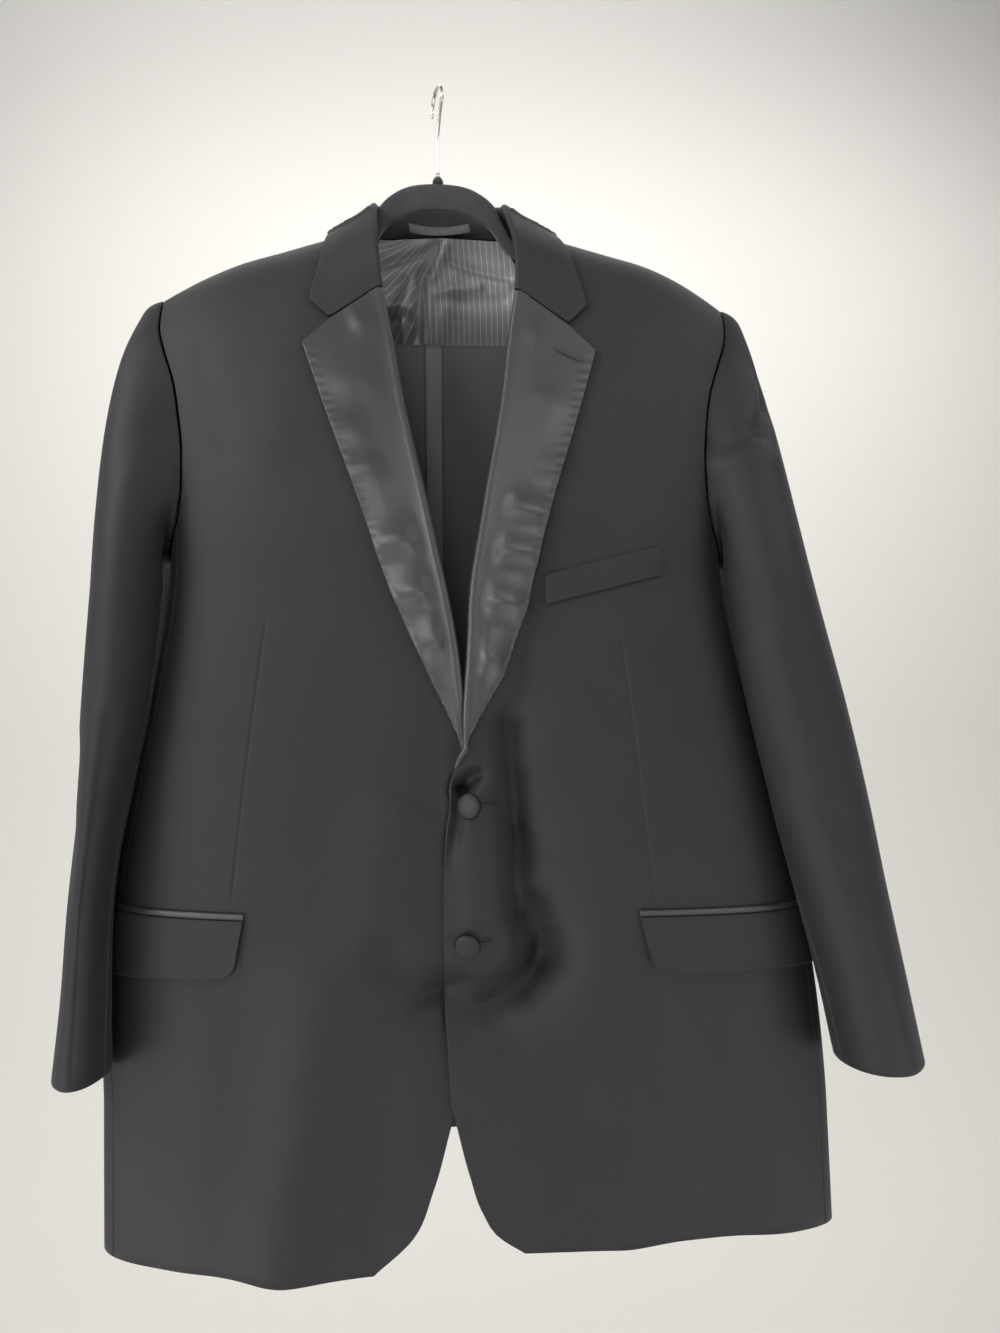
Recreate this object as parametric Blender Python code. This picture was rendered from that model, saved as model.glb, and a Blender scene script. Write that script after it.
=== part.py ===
"""A two-button notch-lapel tuxedo on a flocked hanger: jacket on the arms, trousers over the bar.

Metres, +Z up. The origin is the seat of the hook, where it rests on a rail. +X is the wearer's left, and the
fronts face -Y. Every cut piece is a cloth wall of its own, with a hair's breadth between pieces at the seams.
Jacket pieces are laid out on one body surface: "girth" runs round it from 0 at the centre front, through 0.5
at the side, to 1 at the centre back, and "height" is measured down from the hook.
"""

import bpy
import numpy as np


def table(columns, *rows):
    """A short table as a dictionary of named columns."""
    return dict(zip(columns.split(), np.array(rows, float).T))


# Cloth
WALL = 0.0022
LEAF = 0.0020
SATIN = 0.0008
SEAM_GAP = 0.0003
LEFT, RIGHT = 1, -1

# The body that the jacket hangs as: half width and depths of its sections, by height
BODY = table(
    "height half_width front back",
    (-0.100, 0.2500, 0.034, 0.050),
    (-0.205, 0.2500, 0.044, 0.050),
    (-0.250, 0.2470, 0.052, 0.054),
    (-0.300, 0.2400, 0.061, 0.060),
    (-0.350, 0.2325, 0.069, 0.066),
    (-0.420, 0.2265, 0.076, 0.070),
    (-0.540, 0.2430, 0.077, 0.068),
    (-0.620, 0.2610, 0.073, 0.064),
    (-0.700, 0.2785, 0.066, 0.058),
    (-0.840, 0.2880, 0.055, 0.052),
    (-0.970, 0.2870, 0.051, 0.050),
)
SIDE_ROUNDING = 5
SHOULDER_DROP = 0.080
SHOULDER_RIDGE = table(
    "across height",
    (0.000, -0.0980),
    (0.030, -0.1020),
    (0.050, -0.1125),
    (0.067, -0.1265),
    (0.080, -0.1335),
    (0.096, -0.1400),
    (0.112, -0.1450),
    (0.135, -0.1520),
    (0.176, -0.1645),
    (0.205, -0.1780),
    (0.224, -0.1890),
    (0.2385, -0.1980),
    (0.260, -0.2140),
)

# Seams and edges of the jacket
ARMHOLE = table(
    "height front back",
    (-0.1980, 0.2385, 0.2385),
    (-0.2030, 0.2387, 0.2387),
    (-0.2150, 0.2385, 0.2385),
    (-0.2330, 0.2365, 0.2370),
    (-0.2550, 0.2285, 0.2325),
    (-0.2840, 0.2178, 0.2260),
    (-0.3140, 0.2118, 0.2210),
    (-0.3450, 0.2085, 0.2180),
    (-0.3750, 0.2090, 0.2165),
    (-0.4000, 0.2140, 0.2180),
)
UNDERARM = (-0.4130, -0.4215, -0.4245, -0.4215, -0.4130)
FRONT_EDGE = {
    LEFT: table(
        "height across",
        (-0.1265, 0.0670),
        (-0.1700, 0.0690),
        (-0.2095, 0.0655),
        (-0.3040, 0.0488),
        (-0.3960, 0.0309),
        (-0.4857, 0.0155),
        (-0.5300, 0.0118),
        (-0.5755, 0.0100),
        (-0.5800, 0.0010),
        (-0.6310, -0.0115),
        (-0.7050, -0.0165),
        (-0.7640, -0.0170),
        (-0.8055, -0.0155),
        (-0.8400, -0.0142),
        (-0.8626, -0.0096),
        (-0.8980, -0.0012),
        (-0.9250, 0.0076),
        (-0.9440, 0.0205),
        (-0.9550, 0.0385),
    ),
    RIGHT: table(
        "height across",
        (-0.1265, 0.0670),
        (-0.1700, 0.0690),
        (-0.2095, 0.0655),
        (-0.3040, 0.0488),
        (-0.3960, 0.0309),
        (-0.4857, 0.0155),
        (-0.5300, 0.0100),
        (-0.5755, 0.0065),
        (-0.5800, -0.0020),
        (-0.6200, -0.0140),
        (-0.7000, -0.0170),
        (-0.7600, -0.0140),
        (-0.8000, -0.0045),
        (-0.8300, 0.0052),
        (-0.8610, 0.0151),
        (-0.9000, 0.0285),
        (-0.9320, 0.0450),
        (-0.9550, 0.0735),
    ),
}
ROLL_LINE = table(
    "height across",
    (-0.2070, 0.0545),
    (-0.2522, 0.0465),
    (-0.3043, 0.0388),
    (-0.3960, 0.0209),
    (-0.4857, 0.0050),
    (-0.5400, 0.0005),
    (-0.5750, 0.0000),
)
ROLL_END_HEIGHT = -0.5750
ROLL_END = {LEFT: 0.0046, RIGHT: -0.0016}
LAPEL_EDGE = {
    LEFT: table(
        "height across",
        (-0.2580, 0.1180),
        (-0.3170, 0.0992),
        (-0.4046, 0.0705),
        (-0.4472, 0.0585),
        (-0.4880, 0.0455),
        (-0.5300, 0.0285),
        (-0.5750, 0.0105),
    ),
    RIGHT: table(
        "height across",
        (-0.2580, 0.1180),
        (-0.3170, 0.0992),
        (-0.4046, 0.0695),
        (-0.4472, 0.0560),
        (-0.4880, 0.0400),
        (-0.5300, 0.0212),
        (-0.5750, 0.0052),
    ),
}
ROLL_LIFT, EDGE_LIFT, FOLD_HALF = 0.0062, 0.0034, 0.0030
LAPEL_ROWS, LEAF_SHARES = 13, (0.0, 0.31, 0.62, 0.81, 1.0)
GORGE_END = (0.0545, -0.2070)
NOTCH = (0.0962, -0.2355)
LAPEL_POINT = (0.1180, -0.2580)
HEM_HEIGHT = -0.9550
HEM_DROP = {
    LEFT: table(
        "girth drop",
        (0.00, 0.0000),
        (0.17, 0.0005),
        (0.25, -0.0038),
        (0.38, -0.0045),
        (0.50, -0.0010),
        (1.00, 0.0000),
    ),
    RIGHT: table(
        "girth drop",
        (0.00, 0.0045),
        (0.13, 0.0070),
        (0.21, 0.0105),
        (0.27, 0.0060),
        (0.36, 0.0040),
        (0.50, 0.0025),
        (1.00, 0.0000),
    ),
}
BACK_NECK = table("across height", (0.0, -0.1190), (0.032, -0.1215), (0.056, -0.1262), (0.067, -0.1265))
VENT_TOP = -0.70
VENT = {
    LEFT: table("height across", (-0.96, 0.015), (-0.904, 0.004), (-0.80, 0.001), (-0.70, 0.0)),
    RIGHT: table("height across", (-0.96, 0.042), (-0.904, 0.022), (-0.80, 0.006), (-0.70, 0.0)),
}

# Rows and columns of the panels' grids
SIDE_SEAM_GIRTH, NECK_SHARE = 0.440, 0.28
LOWER_ROWS, NECK_COLUMNS, SIDE_COLUMNS = 13, 5, 6
FRONT_SHARES = np.array((0.0, 0.035, 0.08, 0.13, 0.19, 0.27, 0.37, 0.50, 0.65, 0.82, 1.0))
FRONT_ROW_HEIGHTS = (
    -0.1265, -0.1330, -0.1450, -0.1680, -0.2000, -0.2350, -0.2700, -0.3060, -0.3420, -0.3780,
    -0.4250, -0.4800, -0.5350, -0.5755, -0.5800, -0.6450, -0.7050, -0.7450, -0.7900, -0.8500,
    -0.9000, -0.9350, -0.9550,
)
BACK_ROW_HEIGHTS = (-0.1190, -0.1270, -0.1400, -0.1620, -0.1920, -0.2280, -0.2680, -0.3100, -0.3500, -0.3880)

# Folds: soft troughs (depth below 0) and ridges along a line, on the fronts (face 0) and backs (face 1)
FOLD_COLUMNS = "face side across height to_across to_height width rise"
FOLDS = (
    (0, LEFT, 0.036, -0.560, 0.043, -0.700, 0.012, -0.009),
    (0, LEFT, 0.008, -0.610, 0.008, -0.715, 0.014, 0.004),
    (0, LEFT, 0.052, -0.705, 0.062, -0.735, 0.016, -0.009),
    (0, LEFT, 0.058, -0.742, 0.014, -0.775, 0.015, -0.008),
    (0, LEFT, 0.165, -0.300, 0.150, -0.560, 0.030, 0.003),
    (0, RIGHT, 0.058, -0.735, 0.014, -0.772, 0.015, -0.007),
    (0, RIGHT, 0.110, -0.760, 0.150, -0.970, 0.032, 0.007),
    (0, RIGHT, 0.055, -0.620, 0.075, -0.730, 0.025, 0.004),
    (0, LEFT, 0.170, -0.780, 0.200, -0.970, 0.030, -0.004),
    (1, LEFT, 0.110, -0.330, 0.120, -0.700, 0.026, -0.005),
    (1, LEFT, 0.060, -0.720, 0.085, -0.970, 0.026, 0.006),
    (1, LEFT, 0.170, -0.640, 0.190, -0.970, 0.030, -0.006),
    (1, RIGHT, 0.125, -0.350, 0.115, -0.680, 0.028, -0.005),
    (1, RIGHT, 0.095, -0.700, 0.120, -0.970, 0.028, 0.006),
    (1, RIGHT, 0.195, -0.660, 0.205, -0.970, 0.028, -0.005),
)
LAP = {LEFT: 0.0018, RIGHT: -0.0028}
LAP_WIDTH = 0.045
SKIRT_SWING = {LEFT: -0.006, RIGHT: 0.007}

# How it hangs: how far its middle and its two sides sit to the wearer's left, and how much it drops there
HANG = table(
    "height middle left right drop",
    (-0.100, -0.0012, -0.0012, -0.0012, 0.002),
    (-0.125, 0.0005, 0.0005, 0.0005, 0.001),
    (-0.160, 0.0034, 0.0034, 0.0034, 0.001),
    (-0.205, 0.0048, 0.0040, 0.0048, 0.018),
    (-0.260, 0.0048, 0.0018, 0.0010, 0.028),
    (-0.340, 0.0048, 0.0018, -0.0006, 0.028),
    (-0.450, 0.0048, 0.0020, 0.0000, 0.028),
    (-0.700, 0.0048, 0.0048, 0.0048, 0.028),
    (-0.850, 0.0048, 0.0086, 0.0096, 0.028),
)
HANG_MIDDLE, HANG_SIDE = 0.10, 0.20
HANGER_TILT = 0.015

# Sleeves: rings down each sleeve, by height, from the upper arm to the cuff
SLEEVE = {
    LEFT: table(
        "height inner outer middle depth turn",
        (-0.455, 0.2150, 0.3070, -0.004, 0.076, 8),
        (-0.540, 0.2255, 0.3232, -0.012, 0.070, 12),
        (-0.617, 0.2420, 0.3345, -0.019, 0.066, 15),
        (-0.690, 0.2600, 0.3425, -0.026, 0.062, 17),
        (-0.760, 0.2750, 0.3500, -0.032, 0.059, 17),
        (-0.820, 0.2840, 0.3566, -0.035, 0.057, 17),
    ),
    RIGHT: table(
        "height inner outer middle depth turn",
        (-0.455, 0.2230, 0.2860, -0.004, 0.076, 4),
        (-0.540, 0.2330, 0.2905, -0.008, 0.074, 5),
        (-0.617, 0.2510, 0.2960, -0.013, 0.072, 7),
        (-0.690, 0.2630, 0.3028, -0.019, 0.069, 8),
        (-0.760, 0.2670, 0.3078, -0.024, 0.065, 8),
        (-0.817, 0.2690, 0.3142, -0.028, 0.062, 8),
    ),
}
SLEEVE_PUFF, SLEEVE_ARRIVE = 0.003, 0.46
SLEEVE_HEAD = {LEFT: {"puff": 0.104, "slant": 0.18}, RIGHT: {"puff": 0.112, "slant": 0.03}}
SLEEVE_SEAM_GAP = 0.0006
SLEEVE_CLEARANCE = 0.0062
STATIONS = 24
FRONT_SEAM_STATION, BACK_SEAM_STATION = 10, 17

# Collar, half of it from the gorge round to the centre back: where the strip is sewn on, folds over and ends
COLLAR = table(
    "seam_x seam_z fold_x fold_y fold_z edge_x edge_z",
    (0.0642, -0.2055, 0.0545, -0.0465, -0.2050, 0.1130, -0.2180),
    (0.0661, -0.1890, 0.0560, -0.0460, -0.1850, 0.1095, -0.1990),
    (0.0676, -0.1680, 0.0565, -0.0400, -0.1600, 0.1050, -0.1780),
    (0.0671, -0.1470, 0.0555, -0.0270, -0.1355, 0.1010, -0.1570),
    (0.0666, -0.1300, 0.0545, -0.0115, -0.1140, 0.0970, -0.1440),
    (0.0646, -0.1250, 0.0538, 0.0030, -0.1070, 0.0945, -0.1390),
    (0.0550, -0.1245, 0.0455, 0.0190, -0.0972, 0.0840, -0.1430),
    (0.0318, -0.1200, 0.0240, 0.0330, -0.0865, 0.0460, -0.1370),
    (0.0000, -0.1176, 0.0000, 0.0375, -0.0830, 0.0000, -0.1320),
)
COLLAR_ROWS = (0, 0.35, 0.7, 1, 1.5, 2, 2.5, 3, 3.5, 4, 4.5, 5, 5.4, 6, 6.5, 7, 8)
COLLAR_BEHIND = 5.0
STAND_LIFT, COLLAR_EDGE_LIFT, RIDGE_SLOPE = -0.0011, 0.0027, 1.0

# Pockets and buttons
POCKET = {
    LEFT: {"inner": 0.1317, "top": -0.7005, "rise": 0.001},
    RIGHT: {"inner": 0.1635, "top": -0.7000, "rise": 0.006},
}
POCKET_LENGTH, JET_HEIGHT = 0.155, 0.0048
FLAP_HEIGHT, FLAP_CORNER, FLAP_SLANT = 0.0480, 0.014, 0.0045
FLAP_COLUMNS = (
    0.0000, 0.0012, 0.0035, 0.0075, 0.0140, 0.0300, 0.0550, 0.0800,
    0.1050, 0.1250, 0.1410, 0.1475, 0.1515, 0.1538, 0.1550,
)
WELT = {"inner": 0.0668, "outer": 0.1600, "inner_top": -0.4455, "outer_top": -0.4215, "height": 0.0235}
BUTTON_RADIUS, BUTTON_THICKNESS, BUTTON_SEAT = 0.0098, 0.0050, 0.0012
BUTTONS = table("across height", (0.0058, -0.6215), (0.0008, -0.7235))

# Trousers over the bar, measured along each leg from its hem
BAR_HEIGHT, BAR_RADIUS = -0.2434, 0.0032
TROUSER_WALL = 0.0026
FRONT_DROP = 0.6330
LEG_LENGTH, OVER_BAR = 1.102, 0.024
LEG_INNER = {"radius": 0.0060, "closed_at": 0.0030}
LEG_OUTER = {"radius": 0.0090, "closed_at": 0.0060}
WAISTBAND_HEIGHT, WAISTBAND_THICKNESS = 0.038, 0.0058
LEG_EDGES = table(
    "along front back",
    (0.000, 0.107, -0.125),
    (0.300, 0.114, -0.132),
    (0.650, 0.125, -0.141),
    (0.780, 0.128, -0.180),
    (0.880, 0.130, -0.206),
    (1.000, 0.130, -0.188),
    (1.140, 0.128, -0.140),
)
STRIPE_ACROSS, STRIPE_WIDTH = -0.0050, 0.0152

# Lining and label inside the neck
LINING_HALF, LINING_LOW, LINING_NEAR, LINING_LOOSE = 0.078, -0.345, 0.0035, 0.0095
LABEL_HALF, LABEL_TOP, LABEL_LOW = 0.0270, 0.30, 0.00

# Hanger, half of its closed outline from the neck arch round to the middle of the bar
HANGER_THICKNESS = 0.0058
HANGER = table(
    "across height half",
    (0.0000, -0.0990, 0.0121),
    (0.0200, -0.1010, 0.0121),
    (0.0330, -0.1068, 0.0115),
    (0.0420, -0.1140, 0.0102),
    (0.0475, -0.1205, 0.0072),
    (0.0530, -0.1292, 0.0054),
    (0.0600, -0.1415, 0.0052),
    (0.0740, -0.1520, 0.0054),
    (0.0960, -0.1605, 0.0068),
    (0.1200, -0.1675, 0.0084),
    (0.1500, -0.1757, 0.0086),
    (0.1800, -0.1857, 0.0086),
    (0.2030, -0.1970, 0.0080),
    (0.2160, -0.2070, 0.0066),
    (0.2215, -0.2150, 0.0052),
    (0.2160, -0.2290, 0.0044),
    (0.2020, -0.2390, 0.0036),
    (0.1800, -0.2434, 0.0032),
    (0.0900, -0.2434, 0.0032),
)
BOSS_RADIUS, BOSS_TIP = 0.0046, -0.0805
WIRE_RADIUS, WIRE_SIDES, HOOK_RADIUS, HOOK_TURN = 0.0015, 10, 0.0140, 18

BLACK_WOOL, SATIN_BLACK = (0.010, 0.010, 0.011, 1), (0.016, 0.016, 0.018, 1)
COLOURS = {
    "wool": (BLACK_WOOL, 0.85, 0),
    "satin": (SATIN_BLACK, 0.35, 0),
    "lining": ((0.075, 0.075, 0.085, 1), 0.45, 0),
    "label": ((0.020, 0.020, 0.022, 1), 0.55, 0),
    "flock": ((0.006, 0.006, 0.006, 1), 0.95, 0),
    "steel": ((0.75, 0.74, 0.72, 1), 0.22, 1),
}


# ---- Curves --------------------------------------------------------------------------------------

def smooth(at, places, values):
    """A smooth curve through the values at these places, with no overshoot between them."""
    order = np.argsort(places)
    places, values = np.asarray(places, float)[order], np.asarray(values, float)[order]
    step = np.diff(places)
    slope = np.diff(values) / step
    tangent = np.zeros(len(places))
    tangent[0], tangent[-1] = slope[0], slope[-1]
    turning = slope[:-1] * slope[1:] <= 0
    mean = (slope[:-1] * step[1:] + slope[1:] * step[:-1]) / (step[1:] + step[:-1])
    steepest = 3 * np.minimum(abs(slope[:-1]), abs(slope[1:]))
    tangent[1:-1] = np.where(turning, 0, np.clip(mean, -steepest, steepest))
    at = np.clip(at, places[0], places[-1])
    i = np.clip(np.searchsorted(places, at) - 1, 0, len(step) - 1)
    t = (at - places[i]) / step[i]
    rise = values[i] * (1 + 2 * t) * (1 - t) ** 2 + values[i + 1] * t * t * (3 - 2 * t)
    return rise + step[i] * (tangent[i] * t * (1 - t) ** 2 - tangent[i + 1] * t * t * (1 - t))


def read(chart, key, at, column):
    return smooth(at, chart[key], chart[column])


def ease(low, high, at):
    """0 below low, 1 above high, and smooth between."""
    t = np.clip((at - low) / (high - low), 0, 1)
    return t * t * (3 - 2 * t)


def mix(a, b, t):
    return a + (b - a) * t


def unit(vectors):
    return vectors / np.maximum(np.linalg.norm(vectors, axis=-1, keepdims=True), 1e-12)


# ---- The jacket's body surface -------------------------------------------------------------------

def section_outline():
    """Girth, width and depth along a quarter of a body section, each from 0 to its whole."""
    turn = np.linspace(0, np.pi / 2, 600)
    across, deep = np.sin(turn) ** (2 / SIDE_ROUNDING), np.cos(turn)
    run = np.cumsum(np.hypot(np.diff(across, prepend=0) * 0.26, np.diff(deep, prepend=1) * 0.07))
    return (run - run[0]) / (run[-1] - run[0]) / 2, across, deep


GIRTH, ACROSS, DEEP = section_outline()


def girth_at(across, height):
    """The girth of a point this far from the centre line, on the front."""
    share = across / read(BODY, "height", height, "half_width")
    return np.interp(np.abs(share), ACROSS, GIRTH) * np.sign(share)


def ridge(across):
    return read(SHOULDER_RIDGE, "across", np.abs(across), "height")


def squared_depth(across, height, behind):
    """Square of the body's depth, which falls to 0 at the sides and at the shoulder ridge."""
    deep = np.where(behind, read(BODY, "height", height, "back"), read(BODY, "height", height, "front"))
    side = 1 - np.abs(across / read(BODY, "height", height, "half_width")) ** SIDE_ROUNDING
    cap = 1 - (1 - np.minimum((ridge(across) - height) / SHOULDER_DROP, 1)) ** 2
    return deep ** 2 * side * cap


def fold_rise(side, across, height, behind):
    """How far the folds, the lap of the fronts and the swing of the skirt move the cloth out."""
    rise = np.zeros(np.shape(across))
    for row in FOLDS:
        fold = dict(zip(FOLD_COLUMNS.split(), row))
        run = np.array([fold["to_across"] - fold["across"], fold["to_height"] - fold["height"]])
        dx, dz = across * side * fold["side"] - fold["across"], height - fold["height"]
        t = np.clip((dx * run[0] + dz * run[1]) / (run @ run), 0, 1)
        away = np.hypot(dx - t * run[0], dz - t * run[1]) / fold["width"]
        rise = rise + np.where(behind == fold["face"], fold["rise"] * np.exp(-away ** 2), 0)
    below = ease(-0.530, -0.572, height) * ease(-0.90, -0.86, height)
    lap = LAP[side] * (1 - ease(0.018, LAP_WIDTH, np.abs(across))) * below
    swing = SKIRT_SWING[side] * ease(-0.85, HEM_HEIGHT, height) * (1 - ease(0.15, 0.25, across))
    return rise + np.where(behind, 0, lap + swing)


def body_point(side, across, height, behind, lift=0.0):
    """Point of the jacket's outside this far across and down, moved out from the cloth by lift."""
    across, height, lift = np.broadcast_arrays(np.asarray(across, float), height, lift)
    behind = np.broadcast_to(behind, across.shape)

    def rise(x, z):
        return fold_rise(side, x, z, behind)

    def square(x, z):
        return squared_depth(x, z, behind)

    deep = np.sqrt(np.maximum(square(across, height), 0))
    out = np.where(behind, 1.0, -1.0)
    h = 0.0005
    slope_x = (square(across + h, height) - square(across - h, height)) / (2 * h)
    slope_z = (square(across, height + h) - square(across, height - h)) / (2 * h)
    fold_x = (rise(across + h, height) - rise(across - h, height)) / (2 * h)
    fold_z = (rise(across, height + h) - rise(across, height - h)) / (2 * h)
    normal = np.stack([-slope_x - 2 * deep * fold_x, 2 * deep * out, -slope_z - 2 * deep * fold_z], -1)
    normal = unit(normal)
    point = np.stack([across, out * (deep + rise(across, height)), height], -1) + normal * lift[..., None]
    return mirrored(point, side), mirrored(normal, side)


def mirrored(vectors, side):
    return vectors * np.array([side, 1.0, 1.0])


def girth_point(side, girth, height, lift=0.0):
    """The same by girth: 0 at the centre front, 0.5 at the side, 1 at the centre back."""
    girth, height = np.broadcast_arrays(np.asarray(girth, float), height)
    behind = girth > 0.5
    quarter = np.where(behind, 1 - girth, np.abs(girth))
    across = np.interp(quarter, GIRTH, ACROSS) * read(BODY, "height", height, "half_width")
    across = np.where(behind, across, across * np.sign(girth))
    return body_point(side, across, height, behind, lift)


def hung(points):
    """Moves jacket points from the straight layout to where they hang."""
    moved = np.array(points, float)
    across, height = moved[..., 0].copy(), moved[..., 2].copy()
    sides = np.where(across > 0, read(HANG, "height", height, "left"), read(HANG, "height", height, "right"))
    middle = read(HANG, "height", height, "middle")
    moved[..., 0] += mix(middle, sides, ease(HANG_MIDDLE, HANG_SIDE, np.abs(across)))
    moved[..., 2] -= read(HANG, "height", height, "drop") * across
    return moved


def tilted(points):
    """Moves hanger points from the straight layout to where it hangs, turned about the hook's seat."""
    c, s = np.cos(HANGER_TILT), np.sin(HANGER_TILT)
    x, y, z = np.moveaxis(np.array(points, float), -1, 0)
    return np.stack([x * c + z * s, y, z * c - x * s], -1)


# ---- Meshes --------------------------------------------------------------------------------------

def material(name):
    found = bpy.data.materials.get(name)
    if found:
        return found
    colour, roughness, metallic = COLOURS[name]
    made = bpy.data.materials.new(name)
    made.use_nodes = True
    shader = made.node_tree.nodes["Principled BSDF"]
    shader.inputs["Base Color"].default_value = colour
    shader.inputs["Roughness"].default_value = roughness
    shader.inputs["Metallic"].default_value = metallic
    made.diffuse_color = colour
    return made


def add_object(name, points, faces, cloth):
    mesh = bpy.data.meshes.new(name)
    mesh.from_pydata(np.asarray(points).tolist(), [], faces)
    mesh.update()
    mesh.shade_smooth()
    mesh.set_sharp_from_angle(angle=np.radians(50))
    made = bpy.data.objects.new(name, mesh)
    made.data.materials.append(material(cloth))
    bpy.context.scene.collection.objects.link(made)
    return made


def grid_normals(grid, around=False):
    """Unit normals of a grid of points; around says that its columns close on themselves."""
    along = np.gradient(grid, axis=0)
    if around:
        across = np.roll(grid, -1, 1) - np.roll(grid, 1, 1)
    else:
        across = np.gradient(grid, axis=1)
    return unit(np.cross(across, along))


def inset(grid, gap=SEAM_GAP / 2):
    """Draws the four edges of a grid in, to leave the gap at its seams."""
    moved = grid.copy()
    for edge, inner in ((0, 1), (-1, -2)):
        moved[edge] += unit(grid[inner] - grid[edge]) * gap
    for edge, inner in ((0, 1), (-1, -2)):
        moved[:, edge] += unit(grid[:, inner] - grid[:, edge]) * gap
    return moved


def wall(name, face, back, cloth):
    """A closed wall between two grids of points: its face and its back."""
    rows, columns = face.shape[:2]
    points = np.concatenate([face.reshape(-1, 3), back.reshape(-1, 3)])
    n = rows * columns
    index = np.arange(n).reshape(rows, columns)
    faces = []
    for r in range(rows - 1):
        for c in range(columns - 1):
            a, b, d, e = index[r, c], index[r, c + 1], index[r + 1, c + 1], index[r + 1, c]
            faces += [(a, b, d, e), (a + n, e + n, d + n, b + n)]
    rim = list(index[0, ::-1]) + list(index[1:, 0]) + list(index[-1, 1:]) + list(index[-2:0:-1, -1])
    faces += [(a, b, b + n, a + n) for a, b in zip(rim, rim[1:] + rim[:1])]
    if signed_volume(points, faces) < 0:
        faces = [quad[::-1] for quad in faces]
    return add_object(name, points, [tuple(int(i) for i in quad) for quad in faces], cloth)


def signed_volume(points, faces):
    quads = points[np.array(faces)]
    quads = quads - points.mean(0)
    halves = np.concatenate([quads[:, [0, 1, 2]], quads[:, [0, 2, 3]]])
    return np.linalg.det(halves).sum() / 6


def tube(name, rings, cloth, closed=False):
    """A solid skin over rings of points; closed joins the last ring to the first, else the ends are capped."""
    rings = np.asarray(rings)
    count, sides = rings.shape[:2]
    index = np.arange(count * sides).reshape(count, sides)
    faces = []
    for r in range(count if closed else count - 1):
        a, b = index[r], index[(r + 1) % count]
        faces += [(a[i], a[(i + 1) % sides], b[(i + 1) % sides], b[i]) for i in range(sides)]
    points = rings.reshape(-1, 3)
    flip = signed_volume(points, faces) < 0
    if not closed:
        faces += [tuple(index[0, ::-1]), tuple(index[-1])]
    if flip:
        faces = [quad[::-1] for quad in faces]
    return add_object(name, points, [tuple(int(i) for i in quad) for quad in faces], cloth)


# ---- Body panels ---------------------------------------------------------------------------------

def front_edge(side, height):
    """Distance of a front's edge from the centre line."""
    return read(FRONT_EDGE[side], "height", height, "across")


def side_seam(height, behind):
    """Girth of the front's or back's seam with the side panel."""
    column = "back" if behind else "front"
    low = ARMHOLE["height"][-1]
    start = girth_at(ARMHOLE[column][-1], low)
    girth = mix(start, SIDE_SEAM_GIRTH, ease(low, low - 0.22, height))
    return 1 - girth if behind else girth


def seam_heights():
    """Heights of the rows along the side seams, from the armhole to the hem."""
    return np.linspace(ARMHOLE["height"][-1], HEM_HEIGHT, LOWER_ROWS + 1)


def panel_rows(inner, outer, shares, level):
    """Girths and heights of a grid between two edges given as (girth, height) rows."""
    girth = mix(inner[0][:, None], outer[0][:, None], shares)
    height = mix(inner[1][:, None], outer[1][:, None], shares)
    across = np.interp(np.where(girth > 0.5, 1 - girth, abs(girth)), GIRTH, ACROSS)
    across = across * read(BODY, "height", height, "half_width")
    straight = mix(ridge(across[:, :1]), ridge(across[:, -1:]), shares)
    follow = np.clip(1 - np.arange(len(height)) / level, 0, 1)[:, None]
    return girth, height + follow * (ridge(across) - straight)


def front_grid(side):
    inner_z = np.array(FRONT_ROW_HEIGHTS)
    inner = girth_at(front_edge(side, inner_z), inner_z), inner_z
    seam = seam_heights()[1:]
    outer_girth = np.append(girth_at(ARMHOLE["front"], ARMHOLE["height"]), side_seam(seam, False))
    outer = outer_girth, np.append(ARMHOLE["height"], seam)
    girth, height = panel_rows(inner, outer, FRONT_SHARES, 7)
    height[0] = ridge(np.interp(girth[0], GIRTH, ACROSS) * BODY["half_width"][0])
    return girth, height


def back_grid(side):
    """Columns run from the side seam to the centre back; the first ones share the front's shoulder seam."""
    lower = np.linspace(BACK_ROW_HEIGHTS[-1], HEM_HEIGHT, LOWER_ROWS + 1)[1:]
    centre_z = np.append(BACK_ROW_HEIGHTS, lower)
    gap = np.where(centre_z < VENT_TOP, read(VENT[side], "height", centre_z, "across"), 0)
    centre = 1 - girth_at(gap, centre_z), centre_z
    seam = seam_heights()[1:]
    outer_girth = np.append(1 - girth_at(ARMHOLE["back"], ARMHOLE["height"]), side_seam(seam, True))
    outer = outer_girth, np.append(ARMHOLE["height"], seam)
    neck_steps = (np.arange(1, NECK_COLUMNS + 1) / NECK_COLUMNS) ** 1.6
    shoulder = (1 - FRONT_SHARES[::-1]) * (1 - NECK_SHARE)
    shares = np.append(shoulder, 1 - NECK_SHARE + NECK_SHARE * neck_steps)
    girth, height = panel_rows(outer, centre, shares, 7)
    front_girth, front_height = front_grid(side)
    neck = mix(1 - front_girth[0, 0], 1, neck_steps)
    girth[0] = np.append(1 - front_girth[0, ::-1], neck)
    neck_across = np.interp(1 - neck, GIRTH, ACROSS) * BODY["half_width"][0]
    height[0] = np.append(front_height[0, ::-1], read(BACK_NECK, "across", neck_across, "height"))
    return girth, height


def side_grid():
    top = np.array([ARMHOLE["height"][-1], *UNDERARM, ARMHOLE["height"][-1]])
    drop = np.linspace(0, 1, LOWER_ROWS + 1)[:, None]
    height = mix(top, HEM_HEIGHT, drop)
    seam = seam_heights()
    front, back = side_seam(seam, False)[:, None], side_seam(seam, True)[:, None]
    return mix(front, back, np.linspace(0, 1, SIDE_COLUMNS + 1)), height


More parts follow.
